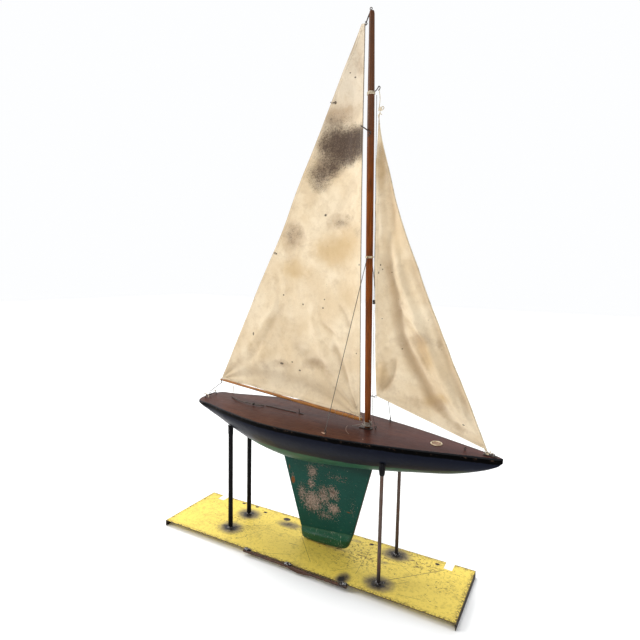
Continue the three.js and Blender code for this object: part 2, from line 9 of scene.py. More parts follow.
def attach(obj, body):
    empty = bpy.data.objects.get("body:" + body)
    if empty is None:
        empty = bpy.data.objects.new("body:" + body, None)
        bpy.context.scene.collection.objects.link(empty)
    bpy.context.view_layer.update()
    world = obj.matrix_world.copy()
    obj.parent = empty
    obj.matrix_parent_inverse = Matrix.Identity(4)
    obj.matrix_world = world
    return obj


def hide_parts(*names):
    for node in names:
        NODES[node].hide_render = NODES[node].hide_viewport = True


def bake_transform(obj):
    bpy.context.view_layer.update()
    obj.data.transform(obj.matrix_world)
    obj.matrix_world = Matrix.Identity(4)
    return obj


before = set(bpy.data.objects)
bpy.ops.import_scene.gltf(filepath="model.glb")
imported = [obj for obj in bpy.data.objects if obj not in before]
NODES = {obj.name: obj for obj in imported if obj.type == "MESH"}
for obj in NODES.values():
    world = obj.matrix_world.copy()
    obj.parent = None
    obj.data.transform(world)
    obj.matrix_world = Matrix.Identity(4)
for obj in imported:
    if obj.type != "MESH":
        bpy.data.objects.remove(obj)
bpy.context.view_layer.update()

MM = 0.001

# ---------- frames of the three groups, in metres ----------
STAND = Matrix.Translation(Vector((-28.25, -1.35, 0)) * MM)
YACHT = (Matrix.Translation(Vector((119.49, -3.47, 329.06)) * MM)
         @ Matrix.Rotation(math.radians(-2), 4, "Z")
         @ Matrix.Rotation(math.radians(1.2), 4, "Y")
         @ Matrix.Rotation(math.radians(3), 4, "X"))
SWING = (YACHT @ Matrix.Translation(Vector((-8, 0, 0)) * MM)
         @ Matrix.Rotation(math.radians(-4), 4, "Z"))


# ---------- camera ----------
def make_camera():
    azimuth, pitch, roll = (math.radians(a) for a in (28.5155, 5.6101, 1.1356))
    forward = Vector((-math.sin(azimuth) * math.cos(pitch), math.cos(azimuth) * math.cos(pitch), -math.sin(pitch)))
    right = Vector((math.cos(azimuth), math.sin(azimuth), 0))
    up = right.cross(forward)
    side = right * math.cos(roll) + up * math.sin(roll)
    top = up * math.cos(roll) - right * math.sin(roll)
    data = bpy.data.cameras.new("camera")
    data.sensor_width = 36
    data.lens = 27.249
    camera = bpy.data.objects.new("camera", data)
    bpy.context.collection.objects.link(camera)
    turn = Matrix((side, top, -forward)).transposed().to_4x4()
    camera.matrix_world = Matrix.Translation((0.52235, -0.97621, 0.67133)) @ turn
    bpy.context.scene.camera = camera


make_camera()


# ---------- materials ----------
class Paint:
    """A Principled material with short names for the nodes that feed it."""

    def __init__(self, name, color=(0.5, 0.5, 0.5), rough=0.5, metal=0.0, **more):
        self.material = bpy.data.materials.new(name)
        self.material.use_nodes = True
        self.tree = self.material.node_tree
        self.shader = self.tree.nodes["Principled BSDF"]
        self.set("Base Color", color)
        self.set("Roughness", rough)
        self.set("Metallic", metal)
        for key, value in more.items():
            self.set(key.replace("_", " "), value)

    def feed(self, socket, value):
        if isinstance(value, bpy.types.NodeSocket):
            self.tree.links.new(value, socket)
        elif isinstance(value, (tuple, list)) and socket.type == "RGBA":
            socket.default_value = (*value[:3], 1)
        else:
            socket.default_value = value

    def set(self, key, value):
        self.feed(self.shader.inputs[key], value)

    def node(self, kind, inputs=None, **settings):
        made = self.tree.nodes.new(kind)
        for key, value in settings.items():
            setattr(made, key, value)
        for key, value in (inputs or {}).items():
            self.feed(made.inputs[key], value)
        return made

    def place(self):
        return self.node("ShaderNodeTexCoord").outputs["Object"]

    def attribute(self, name):
        return self.node("ShaderNodeAttribute", attribute_name=name).outputs["Fac"]

    def stretch(self, vector, scale, turn=(0, 0, 0)):
        return self.node("ShaderNodeMapping", {"Vector": vector, "Scale": scale, "Rotation": turn}).outputs[0]

    def noise(self, vector, scale, detail=4.0, rough=0.55, twist=0.0):
        return self.node("ShaderNodeTexNoise", {"Vector": vector, "Scale": scale, "Detail": detail,
                                                "Roughness": rough, "Distortion": twist}).outputs["Fac"]

    def cells(self, vector, scale, feature="F1", random_=1.0):
        return self.node("ShaderNodeTexVoronoi", {"Vector": vector, "Scale": scale, "Randomness": random_},
                         feature=feature).outputs["Distance"]

    def wave(self, vector, scale, axis="X", twist=0.0, detail=1.0):
        return self.node("ShaderNodeTexWave", {"Vector": vector, "Scale": scale, "Distortion": twist,
                                               "Detail": detail}, bands_direction=axis).outputs["Fac"]

    def math(self, operation, a, b=0.0, c=0.0):
        made = self.node("ShaderNodeMath", {0: a, 1: b, 2: c}, operation=operation)
        return made.outputs[0]

    def smooth(self, value, low, high):
        made = self.node("ShaderNodeMapRange", {"Value": value, "From Min": low, "From Max": high},
                         interpolation_type="SMOOTHSTEP")
        return made.outputs["Result"]

    def mix(self, factor, a, b, kind="MIX"):
        made = self.node("ShaderNodeMix", data_type="RGBA", blend_type=kind)
        self.feed(made.inputs[0], factor)
        self.feed(made.inputs[6], a)
        self.feed(made.inputs[7], b)
        return made.outputs[2]

    def axis(self, vector, name):
        return self.node("ShaderNodeSeparateXYZ", {0: vector}).outputs[name]

    def spot(self, vector, centre, radii, turn=0.0):
        """1 in the middle of an oval patch given in millimetres, falling to 0 at its edge."""
        moved = self.node("ShaderNodeVectorMath", {0: vector, 1: [c * MM for c in centre]},
                          operation="SUBTRACT").outputs[0]
        if turn:
            moved = self.node("ShaderNodeMapping", {"Vector": moved, "Rotation": (0, -math.radians(turn), 0)}).outputs[0]
        scaled = self.node("ShaderNodeVectorMath", {0: moved, 1: [1 / (r * MM) for r in radii]},
                           operation="MULTIPLY").outputs[0]
        length = self.node("ShaderNodeVectorMath", {0: scaled}, operation="LENGTH").outputs["Value"]
        return self.smooth(length, 1.0, 0.0)

    def spots(self, vector, rows):
        total = None
        for row in rows:
            weight = row[3] if len(row) > 3 else 1.0
            turn = row[2] if len(row) > 2 else 0.0
            one = self.math("MULTIPLY", self.spot(vector, row[0], row[1], turn), weight)
            total = one if total is None else self.math("MAXIMUM", total, one)
        return total

    def stroke(self, vector, start, end, width):
        """A thin scratch between two points of the XY plane, in millimetres."""
        direction = (Vector(end) - Vector(start)).to_3d()
        long = direction.length * MM
        direction.normalize()
        across = Vector((-direction.y, direction.x, 0))
        moved = self.node("ShaderNodeVectorMath", {0: vector, 1: (start[0] * MM, start[1] * MM, 0)},
                          operation="SUBTRACT").outputs[0]
        run = self.node("ShaderNodeVectorMath", {0: moved, 1: direction}, operation="DOT_PRODUCT").outputs["Value"]
        off = self.node("ShaderNodeVectorMath", {0: moved, 1: across}, operation="DOT_PRODUCT").outputs["Value"]
        near = self.smooth(self.math("ABSOLUTE", off), width * MM, width * 0.3 * MM)
        inside = self.math("MULTIPLY", self.math("GREATER_THAN", run, 0.0), self.math("LESS_THAN", run, long))
        return self.math("MULTIPLY", near, inside)

    def bump(self, height, distance, strength=1.0, under=None):
        inputs = {"Height": height, "Distance": distance, "Strength": strength}
        if under is not None:
            inputs["Normal"] = under
        made = self.node("ShaderNodeBump", inputs)
        self.set("Normal", made.outputs[0])
        return made.outputs[0]


def yellow_paint():
    p = Paint("yellow_paint", rough=0.42, Specular_IOR_Level=0.35)
    at = p.place()
    broad = p.noise(at, 9, 5)
    fine = p.noise(at, 160, 6, 0.65)
    base = p.mix(broad, (0.68, 0.51, 0.075), (0.82, 0.63, 0.110))
    base = p.mix(p.math("MULTIPLY", p.smooth(fine, 0.48, 0.70), 0.60), base, (0.44, 0.31, 0.040))
    grime = p.noise(at, 34, 7, 0.75)
    base = p.mix(p.math("MULTIPLY", p.smooth(grime, 0.52, 0.70), 0.50), base, (0.27, 0.20, 0.05))
    x = p.math("ABSOLUTE", p.axis(at, "X"))
    y = p.math("ABSOLUTE", p.axis(at, "Y"))
    rim = p.math("MINIMUM", p.math("SUBTRACT", 378 * MM, x), p.math("SUBTRACT", 94.5 * MM, y))
    speckle = p.noise(at, 210, 6, 0.75)
    worn = p.math("MULTIPLY", p.smooth(rim, 13 * MM, 0.5 * MM), p.smooth(speckle, 0.44, 0.58))
    worn = p.math("MAXIMUM", worn, p.smooth(rim, 1.5 * MM, 0.5 * MM))
    crowd = p.spots(at, [((130, 20, 15), (170, 110, 60), 0, 1.0), ((-20, 50, 15), (150, 70, 60), 0, 0.85),
                         ((250, 60, 15), (150, 60, 60), 0, 1.0), ((-200, -20, 15), (120, 110, 60), 0, 0.75),
                         ((-330, 60, 15), (90, 60, 60), 0, 0.55), ((330, 0, 15), (60, 110, 60), 0, 0.55)])
    bits = p.math("ADD", p.noise(at, 150, 5, 0.8), p.math("MULTIPLY", crowd, 0.085))
    worn = p.math("MAXIMUM", worn, p.math("MULTIPLY", p.smooth(bits, 0.622, 0.655), 0.85))
    long_bits = p.noise(p.stretch(at, (0.22, 1, 1), (0, 0, 0.9)), 130, 5, 0.75)
    long_bits = p.math("ADD", long_bits, p.math("MULTIPLY", crowd, 0.07))
    worn = p.math("MAXIMUM", worn, p.math("MULTIPLY", p.smooth(long_bits, 0.640, 0.670), 0.75))
    cross = p.noise(p.stretch(at, (0.22, 1, 1), (0, 0, -0.7)), 150, 5, 0.75)
    cross = p.math("ADD", cross, p.math("MULTIPLY", crowd, 0.06))
    worn = p.math("MAXIMUM", worn, p.math("MULTIPLY", p.smooth(cross, 0.665, 0.695), 0.65))
    base = p.mix(worn, base, (0.080, 0.050, 0.025))
    # Dark rings round the holes: rust at the rim, painted near black in the middle as the shade seen down the holes.
    pits = [(296.7, 76), (136.2, 75), (-105.4, 72), (-176.9, 73), (-213.8, 86.6), (-258, 84.3)]
    hole_shade_and_rust = p.spots(at, [((x, y, 15), (8.5, 6.5, 40)) for x, y in pits] + [((-105.4, 71, 15), (16, 12, 40))])
    hole_shade_and_rust = p.math("MULTIPLY", hole_shade_and_rust, p.math("ADD", 0.55, speckle))
    base = p.mix(p.smooth(hole_shade_and_rust, 0.22, 0.42), base, (0.028, 0.014, 0.010))
    strokes = [((205, -50), (316, 62), 1.3), ((-30, 20), (42, -62), 0.8), ((215, -25), (262, -18), 0.6),
               ((262, -18), (232, -44), 0.6), ((140, 60), (150, -52), 0.6), ((-12, -60), (-60, -84), 0.8),
               ((-205, -30), (-120, 30), 0.6), ((250, -70), (300, -62), 0.6), ((-300, 50), (-250, 20), 0.6),
               ((-120, 12), (-160, -70), 0.5), ((60, 30), (130, 66), 0.5), ((-40, -22), (-20, -20), 1.2),
               ((96, -70), (152, -20), 0.6), ((150, 12), (238, 30), 0.6), ((178, 60), (262, 8), 0.5),
               ((110, 0), (172, 54), 0.5), ((-80, 66), (10, 40), 0.5), ((-10, 76), (84, 52), 0.5)]
    for start, end, width in strokes:
        broken = p.math("MULTIPLY", p.stroke(at, start, end, width), p.smooth(speckle, 0.34, 0.46))
        base = p.mix(p.math("MULTIPLY", broken, 0.85), base, (0.085, 0.060, 0.025))
    posts = [(-207.8, -37.7), (-209.5, 42.5), (205.6, -56.7), (202.3, 64.8)]
    halo = p.spots(at, [((x, y, 15), (54, 44, 70)) for x, y in posts]
                   + [((132, -80, 15), (26, 36, 24)), ((-85, 50, 15), (62, 28, 30), 0, 0.72),
                      ((-40, 62, 15), (30, 20, 30), 0, 0.66), ((-384, 47, 15), (12, 10, 30)),
                      ((188, 20, 15), (26, 14, 30), 0, 0.40), ((96, 70, 15), (30, 14, 30), 0, 0.42)])
    smoke = p.math("MULTIPLY", halo, p.math("ADD", 0.22, p.math("MULTIPLY", p.noise(at, 60, 7, 0.75), 1.35)))
    base = p.mix(p.math("MULTIPLY", p.smooth(smoke, 0.06, 0.55), 0.86), base, (0.17, 0.13, 0.070))
    base = p.mix(p.smooth(smoke, 0.42, 0.84), base, (0.018, 0.014, 0.013))
    # Painted shade: the plate is painted near black below about 13 mm, on its underside and the lower part of its
    # folds.
    below = p.smooth(p.axis(at, "Z"), 13.4 * MM, 12.2 * MM)
    base = p.mix(below, base, (0.020, 0.014, 0.010))
    p.set("Base Color", base)
    rough = p.math("ADD", 0.36, p.math("MULTIPLY", grime, 0.28))
    p.set("Roughness", p.math("ADD", rough, p.math("MULTIPLY", worn, 0.25)))
    under = p.bump(p.noise(at, 420, 3), 0.0002, 0.5)
    p.bump(p.math("SUBTRACT", broad, p.math("MULTIPLY", worn, 0.35)), 0.0012, 0.5, under)
    return p.material


def rusty_steel(name, bright=1.0):
    p = Paint(name, metal=0.35)
    at = p.place()
    broad = p.noise(at, 60, 6, 0.65)
    fine = p.noise(at, 520, 6, 0.7)
    base = p.mix(p.smooth(broad, 0.36, 0.62), [c * bright for c in (0.045, 0.026, 0.02)],
                 [c * bright for c in (0.15, 0.062, 0.035)])
    base = p.mix(p.math("MULTIPLY", p.smooth(fine, 0.52, 0.68), 0.8), base, [c * bright for c in (0.26, 0.15, 0.10)])
    p.set("Base Color", base)
    p.set("Roughness", p.math("ADD", 0.45, p.math("MULTIPLY", fine, 0.45)))
    p.bump(p.math("ADD", fine, p.math("MULTIPLY", broad, 2.0)), 0.0009, 0.8)
    return p.material


def weld_metal():
    p = Paint("weld_metal", metal=0.85)
    at = p.place()
    broad = p.noise(at, 240, 4, 0.6)
    fine = p.noise(at, 760, 5, 0.7)
    base = p.mix(p.smooth(broad, 0.44, 0.62), (0.020, 0.016, 0.015), (0.34, 0.33, 0.33))
    base = p.mix(p.math("MULTIPLY", p.smooth(fine, 0.54, 0.68), 0.7), base, (0.060, 0.028, 0.018))
    p.set("Base Color", base)
    p.set("Roughness", p.math("ADD", 0.16, p.math("MULTIPLY", fine, 0.35)))
    p.bump(p.math("ADD", fine, p.math("MULTIPLY", broad, 2.0)), 0.0007, 0.7)
    return p.material


def rod_steel():
    p = Paint("rod_steel", metal=0.30, Specular_IOR_Level=0.35)
    at = p.place()
    high = p.axis(at, "Z")
    drawn = p.noise(p.stretch(at, (1, 1, 0.06)), 900, 4, 0.6)
    broad = p.noise(p.stretch(at, (1, 1, 0.35)), 90, 5, 0.65)
    base = p.mix(p.smooth(drawn, 0.3, 0.7), (0.050, 0.030, 0.024), (0.13, 0.088, 0.070))
    base = p.mix(p.smooth(broad, 0.50, 0.70), base, (0.10, 0.038, 0.02))
    scorched = p.smooth(p.math("ADD", high, p.math("MULTIPLY", broad, 0.02)), 0.072, 0.028)
    base = p.mix(scorched, base, (0.022, 0.018, 0.019))
    p.set("Base Color", base)
    p.set("Roughness", p.math("ADD", 0.34, p.math("MULTIPLY", broad, 0.4)))
    p.bump(p.math("ADD", drawn, broad), 0.0004, 0.6)
    return p.material


def black_rubber():
    p = Paint("black_rubber", Specular_IOR_Level=0.06)
    at = p.place()
    broad = p.noise(at, 70, 4)
    dust = p.noise(p.stretch(at, (1, 1, 0.2)), 420, 5, 0.7)
    base = p.mix(p.smooth(dust, 0.46, 0.72), (0.004, 0.004, 0.005), (0.026, 0.026, 0.028))
    p.set("Base Color", base)
    p.set("Roughness", p.math("ADD", 0.30, p.math("MULTIPLY", dust, 0.5)))
    p.bump(p.math("ADD", broad, p.math("MULTIPLY", dust, 0.3)), 0.0008, 0.6)
    return p.material


def hull_paint():
    p = Paint("hull_paint", Specular_IOR_Level=0.11)
    at = p.place()
    above = p.attribute("above")
    below_deck = p.attribute("below_deck")
    broad = p.noise(at, 14, 5, 0.6)
    fine = p.noise(p.stretch(at, (0.35, 1, 1)), 150, 6, 0.7)
    navy = p.mix(broad, (0.0050, 0.0062, 0.0125), (0.0095, 0.0115, 0.0205))
    navy = p.mix(p.math("MULTIPLY", p.smooth(fine, 0.52, 0.75), 0.5), navy, (0.016, 0.019, 0.029))
    green = p.mix(p.noise(at, 26, 6, 0.7), (0.008, 0.046, 0.026), (0.020, 0.092, 0.052))
    olive = p.smooth(p.axis(at, "X"), 0.045, 0.17)
    green = p.mix(p.math("MULTIPLY", olive, 0.82), green, (0.020, 0.022, 0.011))
    green = p.mix(p.math("MULTIPLY", p.smooth(fine, 0.52, 0.7), 0.5), green, (0.035, 0.105, 0.060))
    edge = p.math("ADD", above, p.math("MULTIPLY", p.math("SUBTRACT", p.noise(at, 46, 5, 0.65), 0.5), 5.0))
    base = p.mix(p.smooth(edge, 0.8, -0.8), navy, green)
    # Painted shade: a near-black band on the topsides within about 9 mm below the deck, with a ragged lower edge.
    band = p.math("ADD", below_deck, p.math("MULTIPLY", p.math("SUBTRACT", p.noise(at, 70, 5, 0.7), 0.5), 5.0))
    base = p.mix(p.smooth(band, 9.8, 8.6), base, (0.0012, 0.0011, 0.0012))
    chips = p.smooth(p.noise(at, 120, 4, 0.8), 0.700, 0.725)
    rubbed = p.math("MULTIPLY", p.smooth(below_deck, 6.0, 0.0), p.smooth(p.noise(at, 90, 5, 0.75), 0.56, 0.64))
    base = p.mix(p.math("MULTIPLY", chips, 0.55), base, (0.10, 0.075, 0.055))
    base = p.mix(p.math("MULTIPLY", rubbed, 0.6), base, (0.085, 0.050, 0.034))
    p.set("Base Color", base)
    gloss = p.math("MULTIPLY", p.smooth(below_deck, 8.0, 44.0), 0.10)
    p.set("Specular IOR Level", p.math("ADD", 0.012, p.math("ADD", gloss, p.math("MULTIPLY", p.smooth(edge, 0.8, -0.8), 0.10))))
    rough = p.math("ADD", 0.24, p.math("MULTIPLY", fine, 0.25))
    p.set("Roughness", p.math("ADD", rough, p.math("MULTIPLY", p.smooth(edge, 0.8, -0.8), 0.10)))
    under = p.bump(p.noise(at, 22, 3), 0.0035, 0.35)
    p.bump(p.math("SUBTRACT", fine, chips), 0.0005, 0.5, under)
    return p.material


def deck_varnish():
    p = Paint("deck_varnish", Specular_IOR_Level=0.10)
    at = p.place()
    rim = p.attribute("rim")
    grain = p.noise(p.stretch(at, (0.05, 1, 1)), 420, 6, 0.65)
    broad = p.noise(p.stretch(at, (0.35, 1, 1)), 22, 5, 0.6)
    fine = p.noise(at, 260, 6, 0.75)
    base = p.mix(p.smooth(grain, 0.30, 0.70), (0.034, 0.0095, 0.0060), (0.088, 0.028, 0.0150))
    base = p.mix(p.math("MULTIPLY", p.smooth(broad, 0.42, 0.66), 0.55), base, (0.026, 0.0090, 0.0080))
    base = p.mix(p.math("MULTIPLY", p.smooth(fine, 0.58, 0.74), 0.5), base, (0.14, 0.070, 0.050))
    bow = p.smooth(p.axis(at, "X"), 0.0, 0.2)
    base = p.mix(p.math("MULTIPLY", bow, 0.45), base, (0.085, 0.032, 0.030))
    strokes = [((-290, -12), (-205, -4), 0.5), ((-395, -30), (-360, -38), 0.5), ((20, -46), (30, -10), 0.4),
               ((-130, -70), (-40, -62), 0.35), ((60, -20), (64, 30), 0.35), ((110, -25), (92, 2), 0.35),
               ((180, -18), (196, -9), 0.45), ((-300, -52), (-255, -50), 0.35), ((226, -3), (245, -1), 0.5)]
    for start, end, width in strokes:
        base = p.mix(p.math("MULTIPLY", p.stroke(at, start, end, width), 0.7), base, (0.030, 0.013, 0.010))
    pale = [((-70, -74, 0), (4.5, 3.2, 9)), ((-75, -72, 0), (2.2, 2.2, 9)), ((17, -60, 0), (2.2, 1.3, 9))]
    flaked = p.math("MULTIPLY", p.spots(at, pale), p.math("ADD", 0.5, fine))
    base = p.mix(p.smooth(flaked, 0.22, 0.34), base, (0.60, 0.40, 0.28))
    shifted = p.node("ShaderNodeVectorMath", {0: at, 1: (13 * MM, -2 * MM, 0)}, operation="SUBTRACT").outputs[0]
    radius = p.node("ShaderNodeVectorMath", {0: shifted}, operation="LENGTH").outputs["Value"]
    circle = p.smooth(p.math("ABSOLUTE", p.math("SUBTRACT", radius, 58.8 * MM)), 0.75 * MM, 0.25 * MM)
    arc = p.math("MULTIPLY", circle, p.math("LESS_THAN", p.axis(shifted, "X"), -33 * MM))
    arc = p.math("MULTIPLY", arc, p.math("LESS_THAN", p.axis(shifted, "Y"), -7 * MM))
    base = p.mix(p.math("MULTIPLY", arc, 0.55), base, (0.42, 0.30, 0.24))
    # Painted shade: the deck goes near black within about 3 mm of its edge along a ragged line, carrying on the shade
    # band of the topsides. The blots a little further in are real dark marks.
    ragged = p.math("ADD", rim, p.math("MULTIPLY", p.math("SUBTRACT", p.noise(at, 110, 7, 0.85), 0.5), 8.0))
    rim_shade = p.smooth(ragged, 3.3, 2.6)
    blots = p.math("MULTIPLY", p.smooth(rim, 9.0, 3.0), p.smooth(p.noise(at, 70, 5, 0.7), 0.62, 0.65))
    base = p.mix(p.math("MAXIMUM", rim_shade, blots), base, (0.006, 0.006, 0.008))
    p.set("Base Color", base)
    p.set("Roughness", p.math("ADD", 0.22, p.math("MULTIPLY", p.noise(at, 48, 6, 0.7), 0.30)))
    p.bump(p.math("ADD", grain, p.math("MULTIPLY", fine, 0.6)), 0.0003, 0.5)
    return p.material


def keel_paint(name, glossy):
    p = Paint(name, Specular_IOR_Level=0.34 if glossy else 0.12)
    at = p.place()
    broad = p.noise(at, 24, 6, 0.65)
    fine = p.noise(at, 240, 6, 0.75)
    high = p.axis(at, "Z")
    green = p.mix(broad, (0.0024, 0.036, 0.026), (0.0050, 0.066, 0.048))
    if glossy:
        green = p.mix(broad, (0.0025, 0.046, 0.020), (0.0060, 0.088, 0.040))
    green = p.mix(p.math("MULTIPLY", p.smooth(fine, 0.52, 0.72), 0.35), green, (0.028, 0.125, 0.092))
    patches = p.spots(at, [
        ((-140, 0, -137), (34, 20, 44), 0, 0.86), ((-143, 0, -168), (28, 20, 30), 0, 0.82),
        ((-138, 0, -212), (62, 20, 58), 0, 1.0), ((-168, 0, -200), (30, 20, 56), 0, 0.80),
        ((-82, 0, -176), (34, 20, 40), -20, 0.92), ((-80, 0, -216), (36, 20, 34), 0, 0.96),
        ((-108, 0, -190), (40, 20, 60), 0, 0.86), ((-105, 0, -238), (70, 20, 28), 0, 0.66),
        ((-72, 0, -135), (70, 20, 22), 0, 0.55), ((-60, 0, -300), (30, 20, 16), 0, 0.80),
        ((-100, 0, -294), (80, 20, 14), 0, 0.80), ((-120, 0, -114), (80, 20, 12), 0, 0.50),
        ((-196, 0, -165), (16, 20, 34), 0, 0.60), ((-30, 0, -200), (16, 20, 60), 0, 0.46)])
    broken = p.noise(at, 230, 10, 0.84, 0.4)
    shown = p.math("ADD", p.math("MULTIPLY", patches, 0.25), broken)
    bare = p.smooth(shown, 0.640, 0.664)
    primer = p.mix(p.smooth(fine, 0.36, 0.66), (0.15, 0.105, 0.080), (0.40, 0.300, 0.240))
    primer = p.mix(p.smooth(p.noise(at, 60, 5), 0.56, 0.70), primer, (0.085, 0.055, 0.042))
    base = p.mix(bare, green, primer)
    rust = p.math("MULTIPLY", p.spots(at, [((-195, 0, -172), (10, 20, 17)), ((-40, 0, -212), (18, 20, 5), 0, 0.55),
                                           ((-206, 0, -140), (7, 20, 26), 0, 0.5)]),
                  p.math("ADD", 0.35, p.noise(at, 160, 5, 0.7)))
    base = p.mix(p.smooth(rust, 0.22, 0.5), base, (0.17, 0.055, 0.012))
    speck = p.smooth(p.noise(at, 230, 3, 0.6), 0.672, 0.695)
    base = p.mix(p.math("MULTIPLY", speck, 0.75), base, (0.26, 0.27, 0.20))
    scratches = p.smooth(p.noise(p.stretch(at, (1, 1, 0.12), (0, 0.5, 0)), 240, 4, 0.7), 0.635 if glossy else 0.665, 0.67 if glossy else 0.70)
    scratches = p.math("MAXIMUM", scratches, p.smooth(
        p.noise(p.stretch(at, (0.10, 1, 1), (0, 0.25, 0)), 260, 4, 0.7), 0.640 if glossy else 0.675, 0.675 if glossy else 0.71))
    base = p.mix(p.math("MULTIPLY", scratches, 0.80 if glossy else 0.28), base,
                 (0.27, 0.31, 0.22) if glossy else (0.15, 0.17, 0.115))
    shade = p.smooth(high, -0.122, -0.100)
    base = p.mix(p.math("MULTIPLY", shade, 0.55), base, (0.004, 0.016, 0.012))
    edge = p.attribute("edge")
    rubbed = p.smooth(p.math("ADD", edge, p.math("MULTIPLY", broken, 7.0)), 4.9, 3.9)
    base = p.mix(p.math("MULTIPLY", rubbed, 0.75), base, (0.085, 0.050, 0.033))
    p.set("Base Color", base)
    gloss = 0.20 if glossy else 0.33
    p.set("Roughness", p.math("ADD", p.math("MULTIPLY", bare, 0.35),
                              p.math("ADD", gloss, p.math("MULTIPLY", fine, 0.22))))
    under = p.bump(p.noise(at, 40, 3), 0.0022, 0.4)
    p.bump(p.math("SUBTRACT", p.math("MULTIPLY", fine, 0.4), bare), 0.0005, 0.8, under)
    return p.material


def spar_varnish(name, dark, light, along):
    """Varnished spar with its grain along one of its own axes."""
    p = Paint(name, Specular_IOR_Level=0.13)
    at = p.place()
    flat = [1, 1, 1]
    flat["XYZ".index(along)] = 0.03
    grain = p.noise(p.stretch(at, flat), 900, 6, 0.7)
    broad = p.noise(p.stretch(at, [0.2 if v < 1 else 1 for v in flat]), 46, 5, 0.65)
    base = p.mix(p.smooth(grain, 0.32, 0.68), dark, light)
    base = p.mix(p.math("MULTIPLY", p.smooth(broad, 0.50, 0.70), 0.65), base, [c * 0.42 for c in dark])
    if along == "Z":
        upper = p.smooth(p.axis(at, "Z"), 0.50, 0.70)
        base = p.mix(p.math("MULTIPLY", upper, 0.72), base, (0.085, 0.042, 0.024))
        foot = p.smooth(p.axis(at, "Z"), 0.05, 0.0)
        base = p.mix(p.math("MULTIPLY", foot, 0.45), base, (0.05, 0.02, 0.01))
    nicks = p.smooth(p.noise(at, 230, 4, 0.75), 0.69, 0.72)
    base = p.mix(p.math("MULTIPLY", nicks, 0.7), base, (0.04, 0.018, 0.01))
    p.set("Base Color", base)
    p.set("Roughness", p.math("ADD", 0.22, p.math("MULTIPLY", broad, 0.3)))
    p.bump(grain, 0.0003, 0.6)
    return p.material


def dark_iron():
    p = Paint("dark_iron", metal=0.75)
    at = p.place()
    fine = p.noise(at, 700, 6, 0.7)
    broad = p.noise(at, 140, 4)
    base = p.mix(p.smooth(broad, 0.4, 0.65), (0.055, 0.045, 0.04), (0.12, 0.10, 0.088))
    base = p.mix(p.math("MULTIPLY", p.smooth(fine, 0.5, 0.66), 0.7), base, (0.11, 0.05, 0.028))
    p.set("Base Color", base)
    p.set("Roughness", p.math("ADD", 0.32, p.math("MULTIPLY", fine, 0.4)))
    p.bump(fine, 0.0003, 0.7)
    return p.material


def old_brass():
    p = Paint("old_brass", metal=0.55)
    at = p.place()
    fine = p.noise(at, 620, 6, 0.7)
    broad = p.noise(at, 150, 5)
    base = p.mix(p.smooth(broad, 0.38, 0.66), (0.44, 0.34, 0.21), (0.60, 0.52, 0.37))
    base = p.mix(p.math("MULTIPLY", p.smooth(fine, 0.52, 0.70), 0.8), base, (0.20, 0.13, 0.07))
    p.set("Base Color", base)
    p.set("Roughness", p.math("ADD", 0.34, p.math("MULTIPLY", fine, 0.4)))
    p.bump(fine, 0.0003, 0.6)
    return p.material


